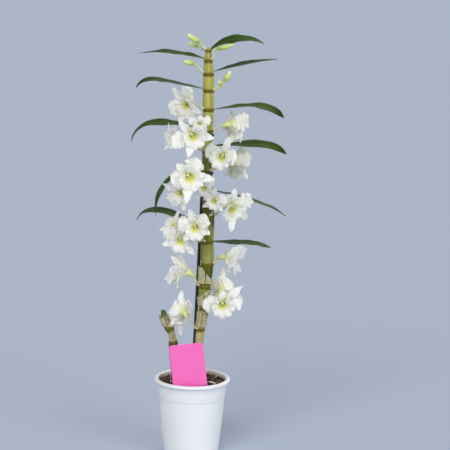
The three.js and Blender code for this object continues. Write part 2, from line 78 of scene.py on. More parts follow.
class Wire:
    """One output socket. Operators on it add Math nodes."""

    def __init__(self, graph, socket):
        self.graph, self.socket = graph, socket

    def math(self, operation, *values):
        node = self.graph.node("ShaderNodeMath", {"operation": operation}, dict(enumerate(values)))
        return node["Value"]

    def __add__(self, other):
        return self.math("ADD", self, other)

    def __sub__(self, other):
        return self.math("SUBTRACT", self, other)

    def __rsub__(self, other):
        return self.math("SUBTRACT", other, self)

    def __mul__(self, other):
        return self.math("MULTIPLY", self, other)

    def __truediv__(self, other):
        return self.math("DIVIDE", self, other)

    def __pow__(self, other):
        return self.math("POWER", self, other)

    __radd__ = __add__
    __rmul__ = __mul__

    def sine(self):
        return self.math("SINE", self)

    def size(self):
        return self.math("ABSOLUTE", self)

    def between(self, low, high):
        """0 at low and 1 at high, smoothly, and flat outside them."""
        values = {"Value": self, "From Min": low, "From Max": high}
        return self.graph.node("ShaderNodeMapRange", {"interpolation_type": "SMOOTHSTEP"}, values)["Result"]


print("wires ready: each sum or product of wires adds a Math node")

# %% Graphs
def tint(red, green, blue):
    """A colour as light, from the 0 to 255 that a colour picker shows."""
    return (*((channel / 255) ** 2.2 for channel in (red, green, blue)), 1.0)


class Made:
    """A node that was added. Its outputs are read by name, number or identifier, as wires."""

    def __init__(self, graph, node):
        self.graph, self.bare = graph, node

    def __getitem__(self, key):
        return Wire(self.graph, socket_of(self.bare.outputs, key))


class Graph:
    def __init__(self, tree):
        self.tree = tree

    def feed(self, node, values):
        for key, value in values.items():
            socket = socket_of(node.inputs, key)
            if isinstance(value, Wire):
                self.tree.links.new(value.socket, socket)
            else:
                socket.default_value = value

    def node(self, kind, settings=None, values=None):
        node = self.tree.nodes.new(kind)
        for name, value in (settings or {}).items():
            setattr(node, name, value)
        self.feed(node, values or {})
        return Made(self, node)

    def marks(self, *names):
        """Numbers that the mesh carries at each point."""
        return [self.node("ShaderNodeAttribute", {"attribute_name": name})["Fac"] for name in names]

    def parts(self, vector):
        return self.node("ShaderNodeSeparateXYZ", None, {"Vector": vector})

    def place(self):
        return self.node("ShaderNodeTexCoord")["Object"]

    def stretched(self, x, y, z):
        """The place on the object, with each axis scaled, which stretches a pattern."""
        return self.node("ShaderNodeMapping", None, {"Vector": self.place(), "Scale": (x, y, z)})["Vector"]

    def noise(self, scale, detail=3.0, vector=None, roughness=0.55):
        vector = vector or self.place()
        values = {"Vector": vector, "Scale": scale, "Detail": detail, "Roughness": roughness}
        return self.node("ShaderNodeTexNoise", None, values)["Fac"]

    def mix(self, share, first, second):
        """The colour first where share is 0 and second where it is 1."""
        values = {"Factor_Float": share, "A_Color": first, "B_Color": second}
        return self.node("ShaderNodeMix", {"data_type": "RGBA"}, values)["Result_Color"]

    def paint(self, color, *coats):
        """A colour with coats laid over it in turn, each as a share from 0 to 1 and a colour."""
        color = tint(*color)
        for share, coat in coats:
            color = self.mix(share, color, tint(*coat))
        return color

    def relief(self, height, depth):
        """A bump of that depth in metres."""
        return self.node("ShaderNodeBump", None, {"Height": height, "Distance": depth})["Normal"]


print("graph tools:", ", ".join(name for name in vars(Graph) if not name.startswith("_")))

# %% Finishes
class Finish(Graph):
    """A new material. What is the same all over the surface is set when it is made."""

    def __init__(self, name, **uniform):
        self.material = bpy.data.materials.new(name)
        self.material.use_nodes = True
        super().__init__(self.material.node_tree)
        self.shader = self.tree.nodes["Principled BSDF"]
        for key, value in uniform.items():
            self.shader.inputs[key.replace("_", " ")].default_value = value

    def worn(self, color, normal=None, roughness=None):
        """The material, with what changes over the surface fed to its shader."""
        varying = {"Base Color": color, "Normal": normal, "Roughness": roughness}
        self.feed(self.shader, {key: value for key, value in varying.items() if value is not None})
        return self.material


print("a picker's mid grey as light:", round(tint(128, 128, 128)[0], 3))

# %% [markdown]
# ## Closed sheets, rods and turned shapes
#
# Petals and leaves are thin sheets, stalks are rods, and a pot is turned. Each can be written
# as a grid of points worked out with numpy, which is quick and exact. A sheet gets a front, a
# back and a rim, so it is closed like the real thing. Every point also carries marks: how far
# along and across it lies, and whether it is on the back. The finishes read those marks.

# %% Angles, shares and faces of a grid
MM = 0.001
ABOUT_A_TURN = 6.28
UP = np.array([0, 0, 1.0])


def cos_sin(degrees):
    return math.cos(math.radians(degrees)), math.sin(math.radians(degrees))


def by_stops(x, *stops):
    """The value at x, from stops of (x, value) with straight lines between them."""
    return np.interp(x, *zip(*stops))


def full_turn(count):
    """That many angles round a circle, in radians."""
    return np.linspace(0, 2 * np.pi, count, endpoint=False)


def shares(rows, columns):
    """How far along (0 to 1) and across (-1 to 1) the rows and columns of a sheet lie."""
    return np.linspace(0, 1, rows)[:, None], np.linspace(-1, 1, columns)[None, :]


def quads(rows, columns, around=False):
    """The faces of a grid of points. around joins the last column to the first."""
    last = columns if around else columns - 1
    i, j = (part.ravel() for part in np.meshgrid(np.arange(rows - 1), np.arange(last), indexing="ij"))
    k = (j + 1) % columns
    return np.stack([i * columns + j, i * columns + k, (i + 1) * columns + k, (i + 1) * columns + j], axis=1)


def unit(vectors):
    return vectors / np.maximum(np.linalg.norm(vectors, axis=-1, keepdims=True), 1e-9)


print("a grid of 3 by 4 points has", len(quads(3, 4)), "faces")

# %% Sheets
def sheet(grid, thickness):
    """A thin closed sheet round a grid of points, thinner towards its edges."""
    rows, columns = grid.shape[:2]
    normal = unit(np.cross(np.gradient(grid, axis=1), np.gradient(grid, axis=0)))
    along = np.linspace(0, 1, rows)[:, None] + np.zeros((1, columns))
    across = np.linspace(-1, 1, columns)[None, :] + np.zeros((rows, 1))
    inside = np.minimum(1, 4 * np.minimum(1 - abs(across), 2 * np.minimum(along, 1 - along)))
    half = (thickness / 2 * (0.35 + 0.65 * inside))[..., None]
    count = rows * columns
    front = quads(rows, columns)
    index = np.arange(count).reshape(rows, columns)
    border = np.concatenate([index[0, :-1], index[:-1, -1], index[-1, :0:-1], index[:0:-1, 0]])
    ahead = np.roll(border, -1)
    rim = np.stack([ahead, border, border + count, ahead + count], axis=1)
    faces = [*front.tolist(), *(front[:, ::-1] + count).tolist(), *rim.tolist()]
    points = np.concatenate([(grid + normal * half).reshape(-1, 3), (grid - normal * half).reshape(-1, 3)])
    back = np.repeat([0.0, 1.0], count)
    return points, faces, np.tile(along.ravel(), 2), np.tile(across.ravel(), 2), back


flat = np.stack([*np.meshgrid(np.arange(4.0), np.arange(3.0)), np.zeros((3, 4))], axis=2)
print("closed into a sheet, that grid has", len(sheet(flat, 0.1)[1]), "faces")

# %% Rods and turned shapes
def capped(rings, first, last):
    """A closed skin through rings of points, ending in the points first and last."""
    rows, columns = rings.shape[:2]
    count = rows * columns
    faces = quads(rows, columns, around=True).tolist()
    for j in range(columns):
        k = (j + 1) % columns
        faces.append((count, k, j))
        faces.append((count + 1, count - columns + j, count - columns + k))
    along = np.repeat(np.linspace(0, 1, rows), columns)
    across = np.tile(np.linspace(-1, 1, columns), rows)
    points = np.concatenate([rings.reshape(-1, 3), [first, last]])
    return points, faces, np.append(along, [0, 1]), np.append(across, [0, 0]), np.zeros(count + 2)


def rod(path, radius, sides=12):
    """A round rod along a path. radius may differ at each point and all round it."""
    path = np.asarray(path, float)
    radius = np.asarray(radius, float)
    radius = np.broadcast_to(radius.reshape(-1, 1) if radius.ndim == 1 else radius, (len(path), sides))
    heading = unit(np.gradient(path, axis=0))
    side = np.cross(heading[0], [0.3, 0.9, 0.2])
    turn = full_turn(sides)[:, None]
    rings = []
    for center, ahead, size in zip(path, heading, radius):
        side = unit(side - ahead * np.dot(side, ahead))
        out = side * np.cos(turn) + np.cross(ahead, side) * np.sin(turn)
        rings.append(center + out * size[:, None])
    return capped(np.array(rings), path[0], path[-1])


def turned(outline, sides):
    """An outline of [radius, height] points turned about the Z axis. It starts and ends on it."""
    turn = full_turn(sides)
    body = np.array(outline[1:-1], float)
    rings = np.stack([
        body[:, :1] * np.cos(turn), body[:, :1] * np.sin(turn), body[:, 1:] + np.zeros((1, sides)),
    ], axis=2)
    return capped(rings, (0, 0, outline[0][1]), (0, 0, outline[-1][1]))


print("a rod with 3 rings has", len(rod([(0, 0, 0), (0, 0, 1), (0, 0, 2)], [1, 1, 1])[1]), "faces")

# %% [markdown]
# ## From shapes to pieces
#
# A blossom and its stalk are one piece, but a petal and a stalk have different finishes. So the
# shapes are gathered first and become one mesh, in which each face knows its own finish. The
# piece is then hung on the frame, in place of the plainer solids that it stands for.

# %% Pieces
def placed(name, data):
    """A new object in the scene, at the origin."""
    made = bpy.data.objects.new(name, data)
    bpy.context.scene.collection.objects.link(made)
    return made


def set_mark(mesh, key, values):
    mesh.attributes.new(key, "FLOAT", "POINT").data.foreach_set("value", np.asarray(values, np.float32))


class Piece:
    """Gathers closed shapes in millimetres and makes one mesh of them."""

    def __init__(self):
        self.shapes, self.slots = [], []

    def add(self, shape, slot=0, axes=None, at=(0, 0, 0), size=1.0):
        """axes are the directions that the shape's own X, Y and Z take."""
        points = shape[0] * size
        if axes is not None:
            points = points @ np.array(axes, float)
        self.shapes.append((points + np.array(at, float), *shape[1:]))
        self.slots.append(slot)
        return self

    def build(self, name, finishes):
        mesh = bpy.data.meshes.new(name)
        faces, slots, start = [], [], 0
        for shape, slot in zip(self.shapes, self.slots):
            faces += [[corner + start for corner in face] for face in shape[1]]
            slots += [slot] * len(shape[1])
            start += len(shape[0])
        mesh.from_pydata((np.concatenate([shape[0] for shape in self.shapes]) * MM).tolist(), [], faces)
        for number, key in enumerate(("along", "across", "back"), 2):
            set_mark(mesh, key, np.concatenate([shape[number] for shape in self.shapes]))
        for material in finishes:
            mesh.materials.append(material)
        mesh.polygons.foreach_set("material_index", slots)
        mesh.polygons.foreach_set("use_smooth", [True] * len(faces))
        return placed(name, mesh)


def settle(made, slot, *nodes):
    """Hangs a finished piece on the frame, in place of the nodes that it stands for."""
    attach(made, "root")
    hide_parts(*nodes)
    return made


print("piece tools ready")

# %% Waves
def wave(x, seed, slowest=1.0, count=5):
    """A smooth random line through x, about -1 to 1, the same for the same seed."""
    chance = np.random.default_rng(seed)
    total = np.zeros_like(np.asarray(x, float))
    for k in range(count):
        strength = chance.uniform(0.5, 1) / (k + 1)
        turns = slowest * (k + chance.uniform(0.6, 1.4))
        total += strength * np.sin(2 * np.pi * turns * x + chance.uniform(0, ABOUT_A_TURN))
    return total


print("a wave at its start, middle and end:", wave(np.linspace(0, 1, 3), 7).round(2))

# %% [markdown]
# ## Measurements of the plant
#
# The canes are chains of short joints called internodes, with a ring, the node, between each
# pair. Leaves, blossoms and buds all grow from nodes, so their places are given by node number.

# %% The canes' nodes
# The tall cane, from the mix up: height, place to the right, radius.
CANE = np.array([
    [96, 5.5, 5.6], [140, 7.5, 6], [169, 9.7, 6.2], [199.9, 11.8, 6.8], [233.6, 16.3, 7.2],
    [267.9, 16.9, 9.3], [303.7, 20.6, 10.3], [339.2, 19.4, 10.3], [379, 21, 9.4], [415, 19, 8.5],
    [449.4, 17.4, 7.6], [480, 16.4, 7.4], [511, 17.8, 7.8], [543.8, 17.6, 8.6], [573, 17.4, 8.4],
    [598, 16.9, 8.2], [618.4, 16.2, 6.5], [634, 16, 4.4],
])
# The short old cane, the same way.
OLD_CANE = np.array([
    [97, -24, 5.5], [125, -26.5, 6.2], [160, -29.5, 6.8], [178, -30.5, 7.2], [184, -31.5, 5.2],
    [193, -33.5, 5], [201, -37, 7.6], [209, -41, 7.2], [216, -44, 6], [222, -46, 4.6], [229, -47.5, 3],
])


def cane_axis(height, nodes=CANE):
    return np.interp(height, nodes[:, 0], nodes[:, 1])


def cane_radius(height, nodes=CANE):
    return np.interp(height, nodes[:, 0], nodes[:, 2])


print("tall cane:", len(CANE), "nodes")

# %% [markdown]
# ## Petal finish
#
# A dendrobium petal is waxy and a little see-through: light goes in, spreads, and comes out
# softer. Subsurface scattering does that. The colour is a warm white that turns yellow-green
# towards the middle of the blossom, with faint veins that run along the petal.

# %% Petals
def petal_finish():
    graph = Finish(
        "petal_white", Roughness=0.5, Subsurface_Weight=0.45, Subsurface_Scale=0.004,
        Subsurface_Radius=(1.0, 0.95, 0.75), Sheen_Weight=0.15, Sheen_Roughness=0.4, IOR=1.4,
    )
    along, across, back = graph.marks("along", "across", "back")
    veins = ((across * 21 + graph.noise(60) * 1.5).sine().size() ** 3) * (1 - along * 0.6)
    heart = 1 - along.between(0.0, 0.42)
    rib = (1 - across.size().between(0.0, 0.3)) * (1 - along.between(0.1, 0.8))
    color = graph.paint(
        (242, 241, 230), (graph.noise(90), (249, 248, 240)), (veins * 0.12, (222, 226, 196)),
        (rib * (0.25 + back * 0.45), (210, 220, 148)), (heart * 0.7, (218, 220, 136)),
    )
    return graph.worn(color, graph.relief(graph.noise(700) + veins * 0.5, 0.00009))


PETAL = petal_finish()
print("petal finish:", PETAL.name)

# %% [markdown]
# ## Lip, column, stalk and bract finishes
#
# The lip is the frilled funnel in the middle. Its throat is yellow and fades to white at the
# frill, which the along mark gives. The column in the throat has a pale cap in a dark ring.
# Stalks are pale green, and each leaves its node from a small papery bract.

# %% Lip and column finishes
def lip_finish():
    graph = Finish(
        "lip_white_yellow", Roughness=0.55, Subsurface_Weight=0.4, Subsurface_Scale=0.004,
        Subsurface_Radius=(1.0, 0.95, 0.7), Sheen_Weight=0.25, Sheen_Roughness=0.35,
    )
    along, across, back = graph.marks("along", "across", "back")
    reach = along + (graph.noise(260) - 0.5) * 0.16
    glow = 1 - reach.between(0.3, 0.6)
    deep = 1 - reach.between(0.1, 0.46)
    veins = (across * 34 + graph.noise(120) * 2).sine().size() ** 4
    color = graph.paint(
        (243, 242, 230), (glow * (1 - back * 0.65), (232, 227, 130)),
        (deep * (1 - back * 0.7), (234, 228, 122)), (veins * 0.12, (214, 220, 160)),
    )
    return graph.worn(color, graph.relief(graph.noise(1500) + veins * 0.4, 0.00012))


def column_finish():
    graph = Finish("column_cap", Roughness=0.4, Subsurface_Weight=0.2, Subsurface_Scale=0.002)
    along, = graph.marks("along")
    ring = along.between(0.5, 0.62) * (1 - along.between(0.7, 0.78))
    return graph.worn(graph.paint(
        (224, 222, 126), (along.between(0.1, 0.6), (232, 231, 154)),
        (ring * 0.3, (110, 104, 26)), (along.between(0.72, 0.8), (236, 233, 190)),
    ))


LIP, COLUMN = lip_finish(), column_finish()
print("finishes:", LIP.name, COLUMN.name)

# %% Stalk and paper finishes
def stalk_finish():
    graph = Finish("stalk_green", Roughness=0.45, Subsurface_Weight=0.25, Subsurface_Scale=0.003)
    along, = graph.marks("along")
    color = graph.paint(
        (218, 222, 152), (along.between(0.0, 0.8), (190, 204, 108)),
        (graph.noise(300) * 0.45, (226, 230, 190)),
    )
    return graph.worn(color, graph.relief(graph.noise(600), 0.0002))


def paper_finish(name, pale, dark):
    """Dry papery skin with dark fibres along it."""
    graph = Finish(name, Subsurface_Weight=0.12, Subsurface_Scale=0.002)
    fibres = graph.noise(1.0, 5.0, graph.stretched(900, 900, 24))
    patches = graph.noise(1.0, 3.0, graph.stretched(90, 90, 30))
    color = graph.paint(
        dark, (fibres.between(0.35, 0.7), pale), (patches.between(0.5, 0.8) * 0.5, (226, 220, 196)),
    )
    return graph.worn(color, graph.relief(fibres, 0.0006), 0.6 + patches * 0.3)


STALK, BRACT = stalk_finish(), paper_finish("bract_paper", (240, 236, 220), (204, 196, 168))
print("finishes:", STALK.name, BRACT.name)

# %% [markdown]
# ## Where stalks run
#
# A stalk leaves its node level, arches, and comes into the back of the blossom. A cubic Bezier
# curve has just those two directions as its handles.

# %% Stalk paths
def bezier(start, leaving, arriving, end, steps):
    t = np.linspace(0, 1, steps)[:, None]
    r = 1 - t
    return r ** 3 * start + 3 * t * r ** 2 * leaving + 3 * t ** 2 * r * arriving + t ** 3 * end


def stalk_path(node, leave, end, arrival, reach, steps=18):
    """The stalk's middle line. leave is its direction from the cane in degrees, 0 to the front."""
    height, across, radius = CANE[node]
    middle = np.array([across, 0, height + 0.5])
    turn = math.atan2(end[0] - across, -end[1]) if leave is None else math.radians(leave)
    heading = np.array([math.sin(turn), -math.cos(turn), 0])
    start = middle + heading * radius * 0.6
    distance = np.linalg.norm(end - start)
    leaving = start + heading * distance * 0.3 + UP * distance * 0.12
    return bezier(start, leaving, end - arrival * reach * distance, end, steps)


def bract(path, foot=1.9, flare=1.0, length=8.5):
    """A papery cup that wraps the first part of a stalk and ends in a point."""
    heading = unit(path[3] - path[0])
    side = unit(np.cross(heading, UP))
    top = np.cross(side, heading)
    s, t = shares(8, 13)
    angle = t * np.radians(165 - 60 * s)
    wide = foot + flare * s
    reach = length * s * (1 - 0.42 * t ** 2 * s) + 1.8
    grid = (
        side * (wide * np.sin(angle))[..., None] - top * (wide * np.cos(angle))[..., None]
        + heading * reach[..., None]
    )
    return sheet(path[0] + grid, 0.3)


arch = stalk_path(8, 0, np.array([0, -40.0, CANE[8][0]]), np.array([0, -1.0, 0]), 0.42)
print("a stalk to a blossom 40 mm in front rises", round(np.ptp(arch[:, 2]), 1), "mm")


# %% [markdown]
# ## One blossom
#
# A blossom has three narrow sepals and two broad petals, which all count as tepals, round a lip.
# A tepal follows a spine that first rises forward and then bends back. Its margin is ruffled,
# so a wave is added that grows towards the edge. The lip is a sheet rolled into a funnel, with
# a frill of small waves. No two blossoms are alike, so each one draws its own small changes.

# %% Tepals
def blade_outline(s, base, widest, fullness, tip):
    """Half width as a part of the largest, from the base (s = 0) to the tip (s = 1)."""
    growing = base + (1 - base) * np.sin(np.pi / 2 * np.minimum(s / widest, 1)) ** 1.1
    closing = (1 - (np.maximum(s - widest, 0) / (1 - widest)) ** fullness) ** tip
    return np.maximum(growing * closing, 0.02)


SEPAL = dict(
    length=34, width=13.5, base=0.45, widest=0.42,
    fullness=2.0, tip=0.85, ruffle=1.2, waves=1.8, fold=0.16,
)
BROAD = dict(
    length=32, width=26, base=0.2, widest=0.58,
    fullness=2.6, tip=0.6, ruffle=3.0, waves=3.8, fold=-0.03,
)
# What all tepals share: how far their base is from the blossom's middle and how steeply, in
# degrees, it rises there, their midrib groove, and how uneven their margin and their spine are.
TEPAL = dict(seat=4.2, rise=46, groove=0.35, groove_width=0.14, uneven=0.11, sway=1.4)


def tepal(kind, cup, chance, stretch=1.0):
    """Points of one tepal: X across, Y out from the blossom's middle, Z forward."""
    s, t = shares(30, 17)
    tilt, curl = chance.uniform(-7, 7), chance.uniform(-26, 16)
    steep = (TEPAL["rise"] + 18 * cup) * (1 - s) + TEPAL["rise"] * cup * s
    rise = np.radians(steep + tilt + curl * (1 - cup) * s ** 4)
    step = (kind["length"] * stretch - 2) / (len(s) - 1)
    out = TEPAL["seat"] + np.cumsum(np.cos(rise), axis=0) * step - step
    forward = np.cumsum(np.sin(rise), axis=0) * step - step
    half = kind["width"] / 2 * blade_outline(s, kind["base"], kind["widest"], kind["fullness"], kind["tip"])
    half = half * (1 + TEPAL["uneven"] * wave(s, chance.integers(1 << 30), 2.6))
    left, right = (wave(s, chance.integers(1 << 30), kind["waves"], 4) for _ in range(2))
    margin = abs(t) ** 2.0 * np.minimum(1, s / 0.3) * kind["ruffle"] * (1 - 0.5 * cup)
    lift = margin * np.where(t < 0, left, right) + kind["fold"] * half * t ** 2
    lift = lift - TEPAL["groove"] * np.exp(-((t / TEPAL["groove_width"]) ** 2)) * (1 - s)
    x = half * t + TEPAL["sway"] * wave(s, chance.integers(1 << 30), 0.6, 2) * s
    return np.stack([x, out - lift * np.sin(rise), forward + lift * np.cos(rise)], axis=2)


print("sepals", SEPAL["length"], "by", SEPAL["width"], "mm, petals", BROAD["length"], "by", BROAD["width"])

# %% Lip
# The funnel's radius and depth, from its throat (0) to its edge (1), and where its frill starts.
FUNNEL_RADIUS = ((0, 3.4), (0.3, 5.4), (0.55, 8.2), (0.78, 12.0), (1, 15.6))
FUNNEL_DEPTH = ((0, -2), (0.3, 5), (0.55, 11), (0.78, 15), (1, 17))
FRILL_START = 0.45


def lip(chance):
    """The frilled funnel, open along its top, where the column lies."""
    s, t = shares(24, 73)
    angle = t * np.radians(172 - 26 * s ** 2)
    low = (1 + np.cos(angle)) / 2
    frill = np.maximum(0, (s - FRILL_START) / (1 - FRILL_START)) ** 2
    phase = chance.uniform(0, ABOUT_A_TURN, 3)
    teeth = np.sin(9 * angle + phase[0]) + 0.6 * np.sin(15 * angle + phase[1])
    wide = by_stops(s, *FUNNEL_RADIUS) * (1 + 0.24 * low * s) + frill * teeth
    depth = by_stops(s, *FUNNEL_DEPTH) - 3.5 * (1 - low) * s - 2.6 * low * s ** 4
    depth = depth + frill * (1.3 * np.sin(9 * angle + phase[0] + 1.4) + 0.5 * np.sin(21 * angle + phase[2]))
    return np.stack([wide * np.sin(angle), -wide * np.cos(angle), depth], axis=2)


print("a lip opens to", 2 * FUNNEL_RADIUS[-1][1], "mm")

# %% How a blossom faces
def tilted(points, degrees):
    """Turned down about the X axis."""
    c, s = cos_sin(degrees)
    return points @ np.array([[1, 0, 0], [0, c, -s], [0, s, c]])


def facing(azimuth, elevation, roll):
    """Directions of a blossom's right, its dorsal sepal and its face. roll leans it left."""
    (front, aside), (level, upward), (c, s) = map(cos_sin, (azimuth, elevation, roll))
    face = np.array([level * aside, -level * front, upward])
    top = unit(UP - face * face[2])
    right = np.cross(top, face)
    dorsal = top * c - right * s
    return np.array([np.cross(dorsal, face), dorsal, face])


print("the face of a blossom turned to the right:", facing(90, 0, 0)[2].round(2))

# %% One blossom
LIP_DROOP = 16
PETAL_THICKNESS, LIP_THICKNESS = 0.55, 0.5
# Rods in a blossom's middle plane, as height, depth and radius: the column, which lies in the lip,
# and the chin, which joins the blossom to its stalk.
COLUMN_ROD = (
    (1.2, -2, 1.9), (1.6, 1, 2.0), (1.9, 4, 1.9), (2.0, 6.4, 2.0),
    (1.6, 8, 1.8), (1.0, 9, 1.2), (0.6, 9.5, 0.4),
)
CHIN_ROD = (
    (0, -0.4, 3.4), (-0.4, -1, 4.3), (-1.4, -2.8, 3.9),
    (-2.8, -5.6, 2.9), (-4.2, -8.2, 2.0), (-5.4, -10.4, 0.7),
)
# The tepals' turns round the face and their lengths: the dorsal sepal, the right and left sepals,
# the right and left petals.
ANGLES = (0, 132, -132, 68, -68)
LENGTHS = (1, 1, 1, 1, 1)


def middle_rod(rows):
    return rod([(0, height, depth) for height, depth, _ in rows], [row[2] for row in rows], 14)


def blossom(
    name, node, at, azimuth, elevation=0, roll=0, size=1, cup=0.0, leave=None, angles=ANGLES, lengths=LENGTHS,
):
    chance = np.random.default_rng(sum(map(ord, name)) * 7919)
    axes, at = facing(azimuth, elevation, roll), np.array(at, float)
    piece = Piece()
    for angle, stretch, kind in zip(angles, lengths, (SEPAL, SEPAL, SEPAL, BROAD, BROAD)):
        c, s = cos_sin(angle + chance.uniform(-6, 6))
        points = tepal(kind, min(1, cup + chance.uniform(-0.08, 0.12)), chance, stretch)
        points = points @ np.array([[c, -s, 0], [s, c, 0], [0, 0, 1]])
        points[..., 2] += 0.8 if kind is BROAD else 0
        piece.add(sheet(points, PETAL_THICKNESS), 0, axes, at, size)
    funnel = tilted(lip(chance), -LIP_DROOP)[:, ::-1]
    piece.add(sheet(funnel, LIP_THICKNESS), 1, axes, at, size)
    piece.add(middle_rod(COLUMN_ROD), 2, axes, at, size)
    piece.add(middle_rod(CHIN_ROD), 3, axes, at, size)
    path = stalk_path(node, leave, at + axes[2] * 0.8, axes[2], 0.42)
    thick = by_stops(np.linspace(0, 1, len(path)), (0, 1.0), (0.6, 1.05), (0.85, 1.5), (1, 1.9))
    piece.add(rod(path, thick, 10), 3)
    piece.add(bract(path), 4)
    made = piece.build(f"orchid_{name}", [PETAL, LIP, COLUMN, STALK, BRACT])
    return settle(made, "blossom", name)


print("a blossom has", len(ANGLES), "tepals round its lip")

# %% All the blossoms
# A stalk leaves the cane at node, in the direction leave, for the blossom's middle at. azimuth,
# elevation and roll say how the blossom faces, in degrees, and cup how far it is shut.
BLOSSOMS = [
    dict(node=13, at=(-13, -15, 554), azimuth=-40, elevation=-12, roll=36, lengths=(1, 1.25, 1, 1, 1)),
    dict(node=12, at=(6, -57, 527.5), azimuth=0, elevation=2, size=0.54, cup=-0.6,
         lengths=(0.6, 0.8, 0.8, 1, 1)),
    dict(node=11, at=(-5, -50, 508), azimuth=4, elevation=6, roll=40,
         angles=(0, 132, -132, 104, -68), lengths=(0.9, 1, 1.1, 0.75, 1.1)),
    dict(node=11, at=(-31, -20, 500), azimuth=-62, elevation=5, roll=20, size=0.75),
    dict(node=12, at=(50, 2, 522), azimuth=122, elevation=-16, size=1.15, cup=0.1,
         lengths=(0.6, 0.75, 0.9, 0.85, 0.95)),
    dict(node=10, at=(42, -28, 476), azimuth=-14, elevation=2, roll=-30, size=0.95,
         angles=(0, 132, -140, 68, -92), lengths=(1.05, 0.6, 0.55, 0.85, 0.95)),
    dict(node=10, at=(55, 8, 463), azimuth=124, elevation=-12, size=1.1, cup=0.1),
    dict(node=9, leave=-75, at=(-9, -50, 446), azimuth=0, elevation=8, roll=43, size=1.1,
         lengths=(0.75, 1.1, 1.2, 0.85, 0.8)),
    dict(node=9, leave=-8, at=(12, -28, 428), azimuth=10, elevation=-4, roll=20, size=0.62),
    dict(node=9, leave=-110, at=(-21, -14, 419), azimuth=-30, elevation=-18, roll=60, size=0.9),
    dict(node=8, leave=20, at=(31, -26.5, 408), azimuth=-15, elevation=-4, roll=-10, size=0.66,
         lengths=(1, 1, 1, 1, 0.85)),
    dict(node=8, leave=85, at=(54, -9, 397), azimuth=30, elevation=-12, size=1.1,
         angles=(4, 125, -174, 72, -56), lengths=(0.8, 1, 1.1, 1.05, 0.8)),
    dict(node=7, at=(2, -38, 368), azimuth=-6, elevation=5, roll=16, size=0.95,
         lengths=(0.95, 0.8, 0.9, 0.9, 0.9)),
    dict(node=7, at=(-19, -22, 346), azimuth=-15, size=0.95, angles=(0, 132, -108, 68, -68)),
    dict(node=7, at=(-29, 4, 361), azimuth=-50, elevation=35, size=0.78),
    dict(node=6, at=(47, -7, 317), azimuth=76, elevation=-12, size=1.2, cup=0.8, lengths=(0.8, 1, 1, 1, 1)),
    dict(node=5, at=(-10, -8, 292), azimuth=-84, elevation=10, size=1.3, cup=0.9,
         angles=(40, 150, -132, 102, -30), lengths=(1, 1, 1, 1.05, 0.8)),
    dict(node=4, at=(43, 10, 261), azimuth=160, elevation=5, roll=-6, size=0.95,
         angles=(0, 132, -132, 58, -58), lengths=(1.1, 0.8, 0.8, 0.65, 0.65)),
    dict(node=4, at=(45, -22, 247), azimuth=5, elevation=-4, roll=2, cup=-0.3,
         angles=(0, 178, 42, 84, -82), lengths=(0.6, 0.75, 1.25, 1, 1)),
    dict(node=3, at=(-14, -20, 230), azimuth=-148, elevation=6, roll=4, cup=0,
         angles=(0, -162, 140, 72, -66), lengths=(1.05, 1.45, 0.8, 0.7, 0.65)),
]
blossoms = [blossom(f"blossom_{i}", **place) for i, place in enumerate(BLOSSOMS, 1)]
print("blossoms:", len(blossoms), "with", sum(len(b.data.polygons) for b in blossoms), "faces")

# %% [markdown]
# ## Buds
#
# A bud is the same blossom still shut: three sepals meet along seams, and the chin already
# bulges at its base. It is a rod whose radius swells and dips at the seams.

# %% Bud finish
def bud_finish():
    graph = Finish("bud_green", Roughness=0.42, Subsurface_Weight=0.25, Subsurface_Scale=0.003)
    along, = graph.marks("along")
    color = graph.paint(
        (158, 176, 70), (along.between(0.05, 0.55), (206, 219, 122)),
        (along.between(0.6, 1.0), (232, 236, 186)),
        (graph.noise(160).between(0.4, 0.75) * 0.35, (174, 190, 84)),
    )
    return graph.worn(color, graph.relief(graph.noise(500), 0.0002))


BUD = bud_finish()
print("finish:", BUD.name)

# %% Buds
BUD_SWELL = ((0, 0.34), (0.08, 0.66), (0.25, 0.96), (0.5, 1.04), (0.75, 0.86), (0.92, 0.5), (1, 0.14))
BUDS = [
    dict(node=17, leave=-75, base=(3.8, -4, 646), tip=(-16, -6, 658), radius=3.9),
    dict(node=17, leave=-115, base=(0, 5, 640), tip=(-14.5, 6, 645.5), radius=3.2),
    dict(node=16, leave=None, base=(28.5, -8, 637), tip=(56, -14, 645.5), radius=3.7),
    dict(node=15, leave=None, base=(-5, -3, 614), tip=(-21, -5, 617.5), radius=4),
    dict(node=14, leave=None, base=(41, -3, 588), tip=(50.5, -3, 604), radius=4.1),
    dict(node=14, leave=None, base=(37, -9, 583), tip=(32, -11, 589), radius=2.4),
]


def bud(name, node, leave, base, tip, radius):
    base, tip = np.array(base, float), np.array(tip, float)
    share = np.linspace(0, 1, 20)
    heading = unit(tip - base)
    sag = UP * (np.sin(share * np.pi) * 0.06 * np.linalg.norm(tip - base))[:, None]
    line = base + (tip - base) * share[:, None] - sag
    swell = by_stops(share, *BUD_SWELL)
    turn = full_turn(24)
    seams = 1 - 0.13 * abs(np.cos(1.5 * turn)) ** 8
    piece = Piece().add(rod(line, radius * swell[:, None] * seams, 24))
    chin = line[2] + np.outer(np.linspace(0, 1, 6), -heading * 3.2 - UP * 2.4)
    piece.add(rod(chin, radius * np.array([0.75, 0.72, 0.62, 0.48, 0.3, 0.08]), 12))
    path = stalk_path(node, leave, base + heading * 0.8, heading, 0.3, 12)
    piece.add(rod(path, np.linspace(0.95, 1.25, len(path)), 10), 1)
    piece.add(bract(path), 2)
    return settle(piece.build(f"orchid_{name}", [BUD, STALK, BRACT]), "bud", name)


buds = [bud(f"bud_{i}", **place) for i, place in enumerate(BUDS, 1)]
print("buds:", len(buds))

# %% [markdown]
# ## Leaves
#
# A dendrobium leaf is a leathery strap, folded a little along its midrib, with fine parallel
# veins. Each blade is a sheet along a bending midrib line, turned about that line by its own
# twist. The upper side is dark and glossy, the underside paler and duller.

